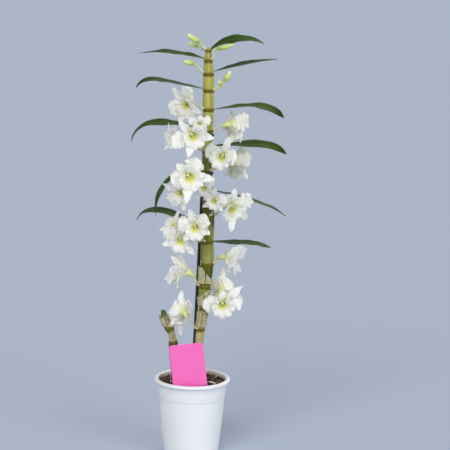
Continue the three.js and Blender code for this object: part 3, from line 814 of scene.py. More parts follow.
# %% Leaf finish
def leaf_finish():
    graph = Finish("leaf_green", Specular_IOR_Level=0.18, Subsurface_Weight=0.06, Subsurface_Scale=0.002)
    along, across, back = graph.marks("along", "across", "back")
    veins = (across * 42).sine().size() ** 2
    rib = 1 - across.size().between(0.0, 0.07)
    clouds = graph.noise(28)
    color = graph.paint(
        (30, 56, 14), (clouds.between(0.3, 0.7), (54, 84, 16)),
        (across.size().between(0.8, 1.0) * 0.5, (104, 132, 58)), (back * 0.7, (84, 108, 60)),
        (veins * 0.18, (120, 142, 78)), (rib * 0.6, (132, 152, 76)),
        ((1 - along.between(0.0, 0.12)) * 0.7, (140, 152, 70)),
    )
    normal = graph.relief(veins + rib * 2 * (back - 0.5), 0.0003)
    return graph.worn(color, normal, 0.42 + back * 0.2 + clouds * 0.12)


LEAF = leaf_finish()
print("finish:", LEAF.name)

# %% Leaf sizes and turns
# A leaf starts rise above its node, at the right (side 1) or the left, turned backwards by back.
# Its angle above level goes from climb at its foot to tip at its tip, and the greater bend is,
# the later it changes. twist turns the blade at its foot, its middle and its tip.
LEAVES = [
    dict(node=17, rise=0, side=1, back=-14, length=88, width=19,
         climb=48, tip=-20, bend=0.7, twist=(35, 40, 5)),
    dict(node=16, rise=2, side=-1, back=8, length=104, width=18,
         climb=16, tip=-9, bend=1, twist=(14, 18, 4)),
    dict(node=15, rise=3, side=1, back=9, length=102, width=17,
         climb=17, tip=4, bend=1.5, twist=(8, 14, 8)),
    dict(node=14, rise=2, side=-1, back=-7, length=109, width=19,
         climb=11, tip=-70, bend=6, twist=(4, 14, 24)),
    dict(node=13, rise=0, side=1, back=8, length=115, width=21,
         climb=8, tip=-48, bend=3, twist=(2, 12, 52)),
    dict(node=12, rise=4, side=-1, back=5, length=126, width=21,
         climb=8, tip=-86, bend=3.5, twist=(12, 22, 14)),
    dict(node=11, rise=8, side=1, back=-6, length=118, width=21,
         climb=5, tip=-42, bend=4, twist=(8, 20, 50)),
    dict(node=10, rise=5, side=-1, back=6, length=118, width=20,
         climb=-3, tip=-95, bend=1.1, twist=(10, 20, 25)),
    dict(node=9, rise=5, side=1, back=14, length=127, width=19,
         climb=-14, tip=-36, bend=3, twist=(6, 10, 14)),
    dict(node=8, rise=-18, side=-1, back=20, length=121, width=19,
         climb=19, tip=-70, bend=4, twist=(10, 20, 18)),
    dict(node=7, rise=0, side=1, back=4, length=93, width=18,
         climb=-2, tip=-24, bend=5, twist=(12, 18, 16)),
]


print("leaf widths:", sorted({place["width"] for place in LEAVES}), "mm")

# %% Leaves
def turned_about(vectors, axis, angle):
    """Each vector turned about its own axis by its own angle."""
    c, s = np.cos(angle)[:, None], np.sin(angle)[:, None]
    return vectors * c + np.cross(axis, vectors) * s


LEAF_OUTLINE = dict(base=0.34, widest=0.54, fullness=2.7, tip=0.85)
LEAF_FOLD, LEAF_RIPPLE, LEAF_THICKNESS = 0.17, 0.7, 0.9


def leaf(name, node, rise, side, back, length, width, climb, tip, bend, twist):
    chance = sum(map(ord, name)) * 31
    share = np.linspace(0, 1, 52)
    t = np.linspace(-1, 1, 17)[None, :, None]
    sideways, backward = cos_sin(back)
    heading = np.array([side * sideways, backward, 0])
    height = CANE[node][0] + rise
    start = np.array([cane_axis(height), 0, height]) + heading * cane_radius(height) * 0.7
    angle = np.radians(climb + (tip - climb) * share ** bend)[:, None]
    ahead = heading * np.cos(angle) + UP * np.sin(angle)
    middle = start + np.cumsum(ahead, axis=0) * length / (len(share) - 1)
    level = np.cross(heading, UP) * side
    turn = np.radians(np.interp(share, [0, 0.5, 1], twist) + 3 * wave(share, chance, 0.8)) * side
    aside = turned_about(np.tile(level, (len(share), 1)), ahead, turn)
    up = np.cross(aside, ahead) * side
    half = (width / 2 * blade_outline(share, **LEAF_OUTLINE))[:, None, None]
    near, away = (wave(share, chance + k, 1.6, 3)[:, None, None] for k in (1, 2))
    ripple = near * (t < 0) + away * (t > 0)
    rippled = LEAF_RIPPLE * ripple * t ** 2 * np.minimum(1, share * 4)[:, None, None]
    lift = LEAF_FOLD * half * abs(t) ** 1.3 + rippled
    grid = middle[:, None, :] + aside[:, None, :] * half * t + up[:, None, :] * lift
    blade = sheet(grid if side > 0 else grid[:, ::-1], LEAF_THICKNESS)
    return settle(Piece().add(blade).build(f"orchid_{name}", [LEAF]), "leaf", name)


leaves = [leaf(f"leaf_{i}", **place) for i, place in enumerate(LEAVES, 1)]
print("leaves:", len(leaves), "the longest", max(place["length"] for place in LEAVES), "mm")

# %% [markdown]
# ## Canes swept along a line
#
# A cane follows a rule: a round section that swells between nodes and has a raised collar at
# each one, with fine ridges along it. Geometry Nodes suit that. The tree below turns a chain of
# points into a curve, sweeps a circle along it at each point's own radius, and pushes the skin
# out and in to make the ridges. The same tree serves both canes, the stake and the roots.

# %% Trees in general
def new_tree(name, **inputs):
    """The graph of an empty Geometry Nodes tree. Each input has a name and a kind."""
    tree = bpy.data.node_groups.new(name, "GeometryNodeTree")
    for key, kind in inputs.items():
        tree.interface.new_socket(name=key.replace("_", " "), in_out="INPUT", socket_type=f"NodeSocket{kind}")
    tree.interface.new_socket(name="Made", in_out="OUTPUT", socket_type="NodeSocketGeometry")
    return Graph(tree)


def ended(graph, made, finish):
    """The tree, once its instances are made real and its finish is set."""
    made = graph.node("GeometryNodeRealizeInstances", None, {"Geometry": made})["Geometry"]
    made = graph.node("GeometryNodeSetMaterial", None, {"Geometry": made, "Material": finish})["Geometry"]
    graph.node("NodeGroupOutput", None, {"Made": made})
    return graph.tree


print("tree tools ready")

# %% The sweep tree
def sweep_tree():
    graph = new_tree(
        "sweep_along_line", Line="Geometry", Sides="Int", Ridges="Float", Ridge_Depth="Float", Lumps="Float",
        Finish="Material",
    )
    given = graph.node("NodeGroupInput")
    named, number = "GeometryNodeInputNamedAttribute", {"data_type": "FLOAT"}
    radius = graph.node(named, number, {"Name": "thickness"})["Attribute"]
    line = graph.node("GeometryNodeMeshToCurve", None, {"Mesh": given["Line"]})["Curve"]
    line = graph.node("GeometryNodeSetCurveRadius", None, {"Curve": line, "Radius": radius})["Curve"]
    values = {"Resolution": given["Sides"], "Radius": 1.0}
    circle = graph.node("GeometryNodeCurvePrimitiveCircle", {"mode": "RADIUS"}, values)["Curve"]
    turn = graph.node("GeometryNodeSplineParameter")["Factor"]
    values = {"Geometry": circle, "Name": "across", "Value": turn}
    circle = graph.node("GeometryNodeStoreNamedAttribute", {**number, "domain": "POINT"}, values)["Geometry"]
    values = {"Curve": line, "Profile Curve": circle, "Fill Caps": True}
    sweep = graph.node("GeometryNodeCurveToMesh", None, values)
    if "Scale" in sweep.bare.inputs:
        graph.feed(sweep.bare, {"Scale": radius})
    around = graph.node(named, number, {"Name": "across"})["Attribute"]
    place = graph.node("GeometryNodeInputPosition")["Position"]
    drift = graph.noise(90.0, 2.0, place, 0.5)
    ridge = (around * given["Ridges"] * (2 * math.pi) + drift * 3.0).sine() * given["Ridge Depth"]
    normal = graph.node("GeometryNodeInputNormal")["Normal"]
    values = {"Vector": normal, "Scale": ridge + (drift - 0.5) * given["Lumps"]}
    push = graph.node("ShaderNodeVectorMath", {"operation": "SCALE"}, values)["Vector"]
    values = {"Geometry": sweep["Mesh"], "Offset": push}
    return ended(graph, graph.node("GeometryNodeSetPosition", None, values)["Geometry"], given["Finish"])


SWEEP = sweep_tree()
print("sweep tree:", len(SWEEP.nodes), "nodes")

# %% From a tree to a plain mesh
def identifier(tree, name):
    inputs = (item for item in tree.interface.items_tree if item.in_out == "INPUT")
    return next(item.identifier for item in inputs if item.name == name)


def plain_mesh(source, modifier):
    """What the modifier makes of an object, as a plain mesh. The modifier is then removed."""
    bpy.context.view_layer.update()
    mesh = bpy.data.meshes.new_from_object(source.evaluated_get(bpy.context.evaluated_depsgraph_get()))
    source.modifiers.remove(modifier)
    return mesh


def grown(source, tree, name, **inputs):
    """The plain mesh object that a tree makes from source. Inputs are named as in the tree."""
    modifier = source.modifiers.new("tree", "NODES")
    modifier.node_group = tree
    for key, value in inputs.items():
        modifier[identifier(tree, key.replace("_", " "))] = value
    mesh = plain_mesh(source, modifier)
    mesh.name = name
    bpy.data.objects.remove(source)
    mesh.polygons.foreach_set("use_smooth", [True] * len(mesh.polygons))
    return placed(name, mesh)


def line_object(points, **marks):
    """A chain of points in millimetres that carries a value at each point for each mark."""
    mesh = bpy.data.meshes.new("line")
    joins = [(i, i + 1) for i in range(len(points) - 1)]
    mesh.from_pydata((np.asarray(points, float) * MM).tolist(), joins, [])
    for key, values in marks.items():
        set_mark(mesh, key, values)
    return placed("line", mesh)


print("the sweep tree's ridges are set by", identifier(SWEEP, "Ridges"))

# %% [markdown]
# ## Cane finish
#
# The young cane is yellow-green under a thin dry skin with pale fibres, and greyer and drier
# lower down. Each node has a dark olive ring. The rings are marks on the line, so the colour
# stays exactly where the shape has its collar.
# Where blossoms shadow the cane, a painted shade mark on the line darkens it to a deeper green.

# %% Cane finishes
def cane_finish(name, young, old, skin, low, high):
    graph = Finish(name, Specular_IOR_Level=0.2, Subsurface_Weight=0.08, Subsurface_Scale=0.002)
    ring, dry, shade = graph.marks("ring", "dry", "shade")
    height = graph.parts(graph.place())["Z"].between(low, high)
    fibres = graph.noise(1.0, 5.0, graph.stretched(700, 700, 16))
    streaks = graph.noise(1.0, 3.0, graph.stretched(260, 260, 12))
    clouds = graph.noise(45)
    skinned = dry * 0.8 + clouds.between(0.4, 0.7) * fibres.between(0.4, 0.62) * 0.7
    color = graph.paint(
        old, (height, young), (streaks.between(0.42, 0.66) * 0.65, (84, 94, 20)), (skinned, skin),
        (dry * streaks.between(0.45, 0.65) * 0.5, (116, 108, 74)),
        # Painted shade: a deeper green laid where the cane lies in shadow under the blossoms.
        (shade * (0.7 + streaks * 0.5), (58, 68, 14)), (ring * (0.85 + clouds * 0.5), (104, 92, 0)),
    )
    return graph.worn(color, graph.relief(fibres + streaks, 0.0005), 0.42 + dry * 0.25 + clouds * 0.1)


CANE_GREEN = cane_finish("cane_green", (176, 174, 64), (122, 131, 36), (190, 182, 130), 0.36, 0.58)
CANE_OLD = cane_finish("cane_old", (92, 102, 24), (64, 62, 20), (178, 166, 138), 0.17, 0.2)
print("finishes:", CANE_GREEN.name, CANE_OLD.name)

# %% Lines along the canes
# A collar sits on each node, a dark ring just below it, and the cane is waisted on both sides.
COLLAR_WIDTH, RING_BELOW, RING_WIDTH, WAIST_AT, WAIST_WIDTH = 1.5, 0.6, 3.2, 3.5, 3.0
POINT_EVERY = 1.5


def cane_line(nodes, collar, waist):
    """Points, radii and ring marks along a cane."""
    heights = np.arange(nodes[0, 0], nodes[-1, 0] + 0.1, POINT_EVERY)
    across = np.interp(heights, nodes[:, 0], nodes[:, 1])
    radius = np.interp(heights, nodes[:, 0], nodes[:, 2])
    gap = abs(heights[:, None] - nodes[None, :, 0])
    near = gap.min(axis=1)
    radius = radius * (1 - (1 - waist) * np.exp(-((near - WAIST_AT) / WAIST_WIDTH) ** 2))
    radius = radius + collar * np.exp(-((near / COLLAR_WIDTH) ** 2))
    above = heights - nodes[gap.argmin(axis=1), 0]
    ring = np.exp(-(((above + RING_BELOW) / RING_WIDTH) ** 4))
    return np.stack([across, 0 * across, heights], axis=1), radius, ring


print("points along the tall cane:", len(cane_line(CANE, 0.55, 0.94)[0]))

# %% The tall cane
points, radius, ring = cane_line(CANE, 0.55, 0.94)
tip = np.array([[16, 0, 635.2], [16, 0, 636.6], [16, 0, 637.6]])
points, radius = np.vstack([points, tip]), np.append(radius, [3.6, 2.2, 0.8])
ring = np.append(ring, [0.4, 0.2, 0])
dry = by_stops(
    points[:, 2], (110, 0.9), (232, 0.75), (240, 0.2), (300, 0), (305, 0.35), (337, 0.3), (341, 0), (400, 0),
    (470, 0.1), (476, 0.6), (488, 0.6), (494, 0.1), (520, 0.2), (640, 0.35),
)
# Heights, and how much painted shade darkens the cane there, where blossoms shadow it.
shade = by_stops(
    points[:, 2], (268, 0), (273, 0.8), (298, 0.8), (304, 0), (358, 0), (368, 0.65), (396, 0.8), (404, 0.2),
    (436, 0.2), (446, 0.45), (472, 0.45), (480, 0),
)
line = line_object(points, thickness=radius * MM, ring=ring, dry=dry, shade=shade)
cane = grown(
    line, SWEEP, "orchid_tall_cane", Sides=72, Ridges=19.0, Ridge_Depth=0.00011, Lumps=0.0006,
    Finish=CANE_GREEN,
)
settle(cane, "cane", "main_cane")
print("tall cane:", len(cane.data.polygons), "faces")

# %% [markdown]
# ## The short old cane
#
# A cane that has flowered loses its leaves, dries and shrivels. The same tree makes it, with
# deeper ridges, more lumps, no collars, and two dark rings where leaves once sat.

# %% The short cane
points, radius, _ = cane_line(OLD_CANE, 0.0, 1.0)
ring = sum(np.exp(-(((points[:, 2] - height) / 1.6) ** 2)) for height in (179, 196.5))
dry = by_stops(
    points[:, 2], (179, 0), (181, 1), (195, 1), (197, 0), (210, 0), (213, 0.8), (219, 0.8), (221, 0),
)
line = line_object(points, thickness=radius * MM, ring=ring * 0.7, dry=dry)
old_cane = grown(
    line, SWEEP, "orchid_short_cane", Sides=48, Ridges=11.0, Ridge_Depth=0.0003, Lumps=0.0016,
    Finish=CANE_OLD,
)
settle(old_cane, "old_cane", "short_cane")
print("short cane:", len(old_cane.data.polygons), "faces")

# %% [markdown]
# ## Dry sheaths
#
# Old leaf sheaths stay round the lower internodes as stiff ribbed paper. Each is a sheet rolled
# once round the cane. Its ragged top edge slopes down to one side. The short cane keeps only a
# torn husk.

# %% Sheaths
SHEATH = paper_finish("sheath_paper", (206, 200, 164), (146, 138, 98))
SHEATHS = [
    dict(name="sheath_lower", bottom=205, top=229, slope=8, flare=0.5),
    dict(name="sheath_middle", bottom=239, top=264, slope=-20, flare=0.7),
    dict(name="sheath_upper", bottom=274, top=300, slope=30, flare=1.0),
]
SHEATH_GAP, SHEATH_THICKNESS, PLEATS = 1.4, 0.4, 30


def sheath(name, bottom, top, slope, flare, nodes=CANE, torn=0.45):
    chance = sum(map(ord, name))
    s, turn = np.linspace(0, 1, 22)[:, None], np.linspace(-0.98, 0.98, 121)[None, :] * np.pi + np.pi / 2
    size = cane_radius((bottom + top) / 2, nodes) + 1.5
    brim = top - np.maximum(size * np.cos(turn) * math.copysign(1, slope) + 6, 0) * abs(slope) / 24
    around = turn / ABOUT_A_TURN
    brim = np.maximum(brim, bottom + 4) + torn * wave(around, chance, 4)
    height = bottom + (brim - bottom) * s
    pleats = 0.14 + 0.3 * (1 - s) ** 3
    ribs = pleats * np.sin(PLEATS * turn + 2 * wave(around, chance + 1, 2))
    ribs = ribs + 0.1 * wave(around, chance + 2, 6)
    wide = cane_radius(height, nodes) + SHEATH_GAP + flare * s ** 2 + ribs + 0.9 * (1 - s) ** 5
    x = cane_axis(height, nodes) - flare * s + wide * np.cos(turn)
    y = -flare * 1.4 * s + wide * np.sin(turn)
    wrap = sheet(np.stack([x, y, height], axis=2), SHEATH_THICKNESS)
    return Piece().add(wrap).build(f"orchid_{name}", [SHEATH])


for place in SHEATHS:
    settle(sheath(**place), "sheath", place["name"])
settle(sheath("husk", 204, 219, 12, 0.9, OLD_CANE, 1.8), "sheath")
print("sheaths:", len(SHEATHS), "and a torn husk on the short cane")

# %% [markdown]
# ## Stake and ties
#
# The stake is a thin plastic-coated rod behind the cane, and two soft bands hold the cane to it.
# A band is a flat strip round both, so its path is an outline round two circles, and a rounded
# section is carried along it.

# %% Stake
def dark_finish(name, color, rough, grain):
    graph = Finish(name)
    specks = graph.noise(grain)
    color = graph.paint(color, (specks * 0.4, [channel + 30 for channel in color]))
    return graph.worn(color, graph.relief(specks, 0.0003), rough + specks * 0.2)


STAKE_FOOT, STAKE_TOP, STAKE_RADIUS = np.array([-0.5, 11.5, 70]), np.array([13.5, 11.5, 512]), 2.7
RIB_EVERY, RIB_HEIGHT = 7, 0.16
body = np.linspace(0, 0.996, 220)
share = np.append(body, [0.998, 0.9995, 1])
ribs = RIB_HEIGHT * (np.sin(body * (STAKE_TOP - STAKE_FOOT)[2] / RIB_EVERY * 2 * np.pi) > 0.6)
radius = np.append(STAKE_RADIUS + ribs, [2.3, 1.5, 0.5])
line = line_object(STAKE_FOOT + (STAKE_TOP - STAKE_FOOT) * share[:, None], thickness=radius * MM)
stake = grown(
    line, SWEEP, "orchid_stake", Sides=24, Ridges=0.0, Ridge_Depth=0.0, Lumps=0.0,
    Finish=dark_finish("stake_plastic", (30, 36, 28), 0.4, 700),
)
settle(stake, "stake", "support_stake")
print("stake:", len(stake.data.polygons), "faces")

# %% Ties
# A band's half thickness and half height, and how far its middle lies off the cane and the stake.
BAND = dict(thick=0.6, tall=1.9, off_cane=1.35, off_stake=1.15)


def band(height):
    """A tie at that height, as a closed ring of rounded sections."""
    far, near, section = 60, 30, 16
    share = (height - STAKE_FOOT[2]) / (STAKE_TOP - STAKE_FOOT)[2]
    cane_at = np.array([cane_axis(height), 0.0])
    stake_at = (STAKE_FOOT + (STAKE_TOP - STAKE_FOOT) * share)[:2]
    first, second = cane_radius(height) + BAND["off_cane"], STAKE_RADIUS + BAND["off_stake"]
    line = stake_at - cane_at
    heading, lap = math.atan2(line[1], line[0]), math.acos((first - second) / np.linalg.norm(line))
    turns = heading + np.concatenate([np.linspace(lap, 2 * np.pi - lap, far), np.linspace(-lap, lap, near)])
    centers = np.repeat([cane_at, stake_at], [far, near], axis=0)
    sizes = np.repeat([first, second], [far, near])[:, None]
    out = np.stack([np.cos(turns), np.sin(turns)], axis=1)
    corner = full_turn(section)
    deep = BAND["thick"] * np.sign(np.cos(corner)) * abs(np.cos(corner)) ** 0.5
    tall = BAND["tall"] * np.sign(np.sin(corner)) * abs(np.sin(corner)) ** 0.5
    flat = (centers + out * sizes)[:, None, :] + out[:, None, :] * deep[None, :, None]
    grid = np.concatenate([flat, (height + tall)[None, :, None] + np.zeros((len(turns), 1, 1))], axis=2)
    i, j = (part.ravel() for part in np.meshgrid(np.arange(len(turns)), np.arange(section), indexing="ij"))
    ahead, beside = (i + 1) % len(turns) * section, (j + 1) % section
    faces = np.stack([i * section + j, ahead + j, ahead + beside, i * section + beside], axis=1).tolist()
    marks = np.zeros(len(turns) * section)
    return grid.reshape(-1, 3), faces, marks, marks, marks


TIE = dark_finish("tie_rubber", (24, 24, 24), 0.5, 500)
TIES = dict(tie_lower=446, tie_upper=505)
for name, height in TIES.items():
    settle(Piece().add(band(height)).build(f"orchid_{name}", [TIE]), "tie", name)
print("ties at heights of", *TIES.values(), "mm")

# %% [markdown]
# ## Pot
#
# A thin white plastic pot is turned on the Z axis from one outline: up the outside with its
# ledge, round the rolled rim, and down the inside. Drain holes are cut through the base with a
# Boolean modifier, as a mould would leave them.

# %% Pot finish
def pot_finish():
    graph = Finish("pot_plastic", Subsurface_Weight=0.08, Subsurface_Scale=0.002, Coat_Roughness=0.3)
    back, = graph.marks("back")
    clouds, specks = graph.noise(18), graph.noise(420)
    height = graph.parts(graph.place())["Z"]
    stain = back * (1 - height.between(0.116, 0.1205)) * (0.4 + graph.noise(60) * 0.6)
    scuffs = graph.noise(1.0, 4.0, graph.stretched(60, 60, 500)).between(0.6, 0.75)
    color = graph.paint(
        (228, 231, 234), (clouds, (238, 239, 241)), (scuffs * 0.12, (206, 208, 206)),
        (stain, (176, 172, 140)),
    )
    roughness = 0.3 + clouds * 0.1 + scuffs * 0.15 + back * 0.1
    return graph.worn(color, graph.relief(specks + scuffs, 0.00006), roughness)


POT_PLASTIC = pot_finish()
print("finish:", POT_PLASTIC.name)

# %% Pot outline
ARC_POINTS = 7


def arc(center, radius, start, end, steps=ARC_POINTS):
    """Points [radius, height] on a circle, between two angles in degrees."""
    turns = map(cos_sin, np.linspace(start, end, steps))
    return [[center[0] + radius * c, center[1] + radius * s] for c, s in turns]


POT_OUTSIDE = [
    [0, 0], [20, 0], [38, 0], *arc((41.2, 1.2), 1.2, -90, -10, 4), [43, 3.5], [44.6, 18], [46.3, 32],
    [48.5, 51], [50.4, 71], [51.1, 85], [51.5, 92], [51.6, 92.5], [52.1, 92.9],
    [52.35, 93.3], [52.45, 94.2], [53.9, 106], [55, 115.2], *arc((56.6, 115.4), 1.4, 180, 100, 5),
]
POT_RIM = [
    *arc((58.0, 118.8), 2.0, -80, 20), *arc((57.5, 119.6), 2.4, 20, 100), *arc((55.6, 119.4), 2.6, 100, 180),
]
POT_INSIDE = [
    [52.9, 116.5], [52.1, 106], [50.9, 96], [50.2, 93.4], [49.7, 90], [48.7, 71], [46.8, 51], [44.6, 32],
    [42, 4.5], [40.5, 2.6], [20, 2.2], [0, 2.2],
]
print("pot outline:", len(POT_OUTSIDE) + len(POT_RIM) + len(POT_INSIDE), "points")

# %% Pot
# The last rim arc and all that follows lie inside the pot.
FIRST_INSIDE = len(POT_OUTSIDE) + len(POT_RIM) - ARC_POINTS
POT_SIDES = 180
DRAINS = dict(turns=(45, 135, 225, 315), from_middle=27, radius=3.5)


def pot():
    outline = [*POT_OUTSIDE, *POT_RIM, *POT_INSIDE]
    points, faces, along, across, back = turned(outline, POT_SIDES)
    inside = np.repeat(np.arange(1, len(outline) - 1) >= FIRST_INSIDE, POT_SIDES).astype(float)
    shape = (points, faces, along, across, np.append(inside, [0, 1]))
    made = Piece().add(shape).build("orchid_pot", [POT_PLASTIC])
    drill = Piece()
    for turn in DRAINS["turns"]:
        x, y = DRAINS["from_middle"] * np.array(cos_sin(turn))
        drill.add(rod([[x, y, z] for z in (-3, 0, 2, 5)], DRAINS["radius"], 24))
    cutter = drill.build("drill", [])
    modifier = made.modifiers.new("holes", "BOOLEAN")
    modifier.operation, modifier.object, modifier.solver = "DIFFERENCE", cutter, "EXACT"
    made.data = plain_mesh(made, modifier)
    bpy.data.objects.remove(cutter)
    return settle(made, "pot", "pot")


print("pot:", len(pot().data.polygons), "faces")

# %% [markdown]
# ## Potting mix
#
# The pot is full of bark chips. Only the topmost show, so a solid bed takes the place of those
# below, and Geometry Nodes strew chips over it: points are spread on its top, a chip is set on
# each at a random turn and size, and every chip keeps its own random tone, which the finish
# turns into a colour.

# %% Bark finish
def bark_finish():
    graph = Finish("bark_chips")
    tone, = graph.marks("tone")
    grain = graph.noise(1.0, 5.0, graph.stretched(500, 500, 900))
    color = graph.paint(
        (22, 15, 12), (tone.between(0.0, 0.7), (64, 44, 30)), (tone.between(0.86, 0.97), (160, 138, 108)),
        (grain.between(0.5, 0.8) * 0.4, (112, 90, 70)),
    )
    return graph.worn(color, graph.relief(grain + graph.noise(320), 0.0007), 0.62 + grain * 0.3)


BARK = bark_finish()
print("finish:", BARK.name)

# %% The scatter tree
def scatter_tree():
    graph = new_tree(
        "strew_chips", Bed="Geometry", Chip="Object", Per_Square_Metre="Float", Smallest="Float",
        Largest="Float", Reach="Float", Seed="Int", Finish="Material",
    )
    given = graph.node("NodeGroupInput")
    upward = graph.parts(graph.node("GeometryNodeInputNormal")["Normal"])["Z"]
    place = graph.parts(graph.node("GeometryNodeInputPosition")["Position"])
    reach = (place["X"] * place["X"] + place["Y"] * place["Y"]) ** 0.5
    top = upward.math("GREATER_THAN", upward, 0.6) * reach.math("LESS_THAN", reach, given["Reach"])
    values = {
        "Mesh": given["Bed"], "Selection": top, "Density": given["Per Square Metre"], "Seed": given["Seed"],
    }
    random = {"distribute_method": "RANDOM"}
    spots = graph.node("GeometryNodeDistributePointsOnFaces", random, values)["Points"]
    chip = graph.node("GeometryNodeObjectInfo", None, {"Object": given["Chip"]})["Geometry"]
    values = {"Min": (-0.5, -0.5, 0.0), "Max": (0.5, 0.5, 2 * math.pi), "Seed": 5}
    turn = graph.node("FunctionNodeRandomValue", {"data_type": "FLOAT_VECTOR"}, values)["Value"]
    number = {"data_type": "FLOAT"}
    values = {"Min": given["Smallest"], "Max": given["Largest"], "Seed": 8}
    size = graph.node("FunctionNodeRandomValue", number, values)["Value"]
    values = {"Points": spots, "Instance": chip, "Rotation": turn, "Scale": size}
    chips = graph.node("GeometryNodeInstanceOnPoints", None, values)["Instances"]
    tone = graph.node("FunctionNodeRandomValue", number, {"Seed": 11})["Value"]
    values = {"Geometry": chips, "Name": "tone", "Value": tone}
    settings = {**number, "domain": "INSTANCE"}
    chips = graph.node("GeometryNodeStoreNamedAttribute", settings, values)["Geometry"]
    return ended(graph, chips, given["Finish"])


STREW = scatter_tree()
print("scatter tree:", len(STREW.nodes), "nodes")

# %% One chip
def chip_object():
    """One splinter of bark, 1 m long, to be scaled down to millimetres where it is strewn."""
    chance = np.random.default_rng(4)
    path = [[-0.5, 0, 0], [-0.3, 0, 0.02], [0.05, 0.02, 0.04], [0.3, 0, 0.01], [0.5, 0.02, 0]]
    radius = np.array([0.09, 0.2, 0.25, 0.22, 0.1])[:, None] * chance.uniform(0.8, 1.2, (5, 7)) / MM
    points, *rest = rod(np.array(path) / MM, radius, 7)
    points[:, 2] *= 0.55
    return Piece().add((points, *rest)).build("chip", [])


chip = chip_object()
print("one chip:", len(chip.data.polygons), "faces")

# %% The bed and its chips
# The bed's foot and side, as radius and height, and its top.
BED_SIDES = [[47.9, 71.0], [49.3, 90.0], [51.6, 110.0]]
BED_TOP = dict(radius=52.1, edge=115.1, rise=1.2, bumps=0.5)


def bed_object():
    s, turn = np.linspace(1, 0.02, 26)[:, None], full_turn(96)
    rings = [np.stack([r * np.cos(turn), r * np.sin(turn), z + 0 * turn], axis=1) for r, z in BED_SIDES]
    x, y = (BED_TOP["radius"] * s * round_it(turn) for round_it in (np.cos, np.sin))
    height = BED_TOP["edge"] + BED_TOP["rise"] * (1 - s ** 2)
    height = height + BED_TOP["bumps"] * np.sin(x / 5.1) * np.cos(y / 4.3)
    foot, middle = BED_SIDES[0][1], BED_TOP["edge"] + BED_TOP["rise"]
    top = np.stack([x, y, height], axis=2)
    return Piece().add(capped(np.concatenate([rings, top]), (0, 0, foot), (0, 0, middle)))


bed = bed_object().build("orchid_mix_bed", [BARK])
chips = grown(
    placed("bed", bed.data.copy()), STREW, "orchid_bark_chips", Chip=chip, Per_Square_Metre=150000.0,
    Smallest=0.0035, Largest=0.008, Reach=0.049, Seed=3, Finish=BARK,
)
bpy.data.objects.remove(chip)
settle(bed, "potting_mix", "potting_mix")
settle(chips, "potting_mix")
print("bark:", len(chips.data.polygons), "faces of chips")

# %% [markdown]
# ## Roots
#
# A few pale roots climb out of the mix and dip back in. They are corky, so the sweep tree gets
# lumps, and their green tips stay hidden in the mix.

# %% Root finish
def root_finish():
    graph = Finish("root_cork")
    grain = graph.noise(420, 4.0)
    color = graph.paint(
        (150, 138, 108), (grain.between(0.35, 0.7), (216, 208, 184)),
        (graph.noise(70).between(0.5, 0.75) * 0.5, (150, 156, 110)),
    )
    return graph.worn(color, graph.relief(grain, 0.0005), 0.6 + grain * 0.3)


ROOT = root_finish()
print("finish:", ROOT.name)

# %% Roots
# A name, points that the root runs through, and its radius.
ROOTS = [
    ("root_1", [[13, -16, 118], [19, -27, 121.5], [28, -35, 124.5], [36, -34, 122], [38, -30, 117.9]], 1.1),
    ("root_2", [[36, 20, 117.1], [42, 25, 118.9], [45, 20, 117]], 1.0),
    ("root_3", [[-32.5, -15, 116.8], [-33.2, -15, 123], [-34.2, -15.5, 133]], 0.9),
]


def through(points, steps):
    """A smooth line through a few points (Catmull-Rom)."""
    points = np.asarray(points, float)
    ends = np.vstack([2 * points[0] - points[1], points, 2 * points[-1] - points[-2]])
    made = []
    for a, b, c, d in zip(ends, ends[1:], ends[2:], ends[3:]):
        for t in np.linspace(0, 1, steps, endpoint=False):
            bend = (2 * a - 5 * b + 4 * c - d) * t ** 2 + (3 * b - a - 3 * c + d) * t ** 3
            made.append(0.5 * (2 * b + (c - a) * t + bend))
    return np.array([*made, points[-1]])


for name, points, radius in ROOTS:
    path = through(points, 12)
    thick = radius * (1 + 0.12 * wave(np.linspace(0, 1, len(path)), len(path), 3))
    thick[[0, -1]] *= 0.6
    line = line_object(path, thickness=thick * MM)
    made = grown(
        line, SWEEP, f"orchid_{name}", Sides=14, Ridges=0.0, Ridge_Depth=0.0, Lumps=0.0007, Finish=ROOT,
    )
    settle(made, "root", name)
print("roots:", len(ROOTS))

# %% [markdown]
# ## Label
#
# The label is a pink card with rounded top corners on a spike that stands in the mix. It is
# left bare. One sheet makes it: rows of points whose width follows the outline, bowed a little.

# %% Label finish
def label_finish():
    graph = Finish("label_pink", Coat_Weight=0.25, Coat_Roughness=0.25)
    clouds, grain = graph.noise(22), graph.noise(1400)
    color = graph.paint((240, 94, 178), (clouds, (246, 108, 190)), (grain * 0.15, (255, 160, 212)))
    return graph.worn(color, graph.relief(grain, 0.00004), 0.38 + clouds * 0.14)


LABEL_PINK = label_finish()
print("finish:", LABEL_PINK.name)

# %% Label
LABEL = dict(
    width=53, height=69, thickness=0.8, corner=5, bow=0.9, spike=34, spike_width=14,
    lean=7, place=(-1.4, -43, 117),
)


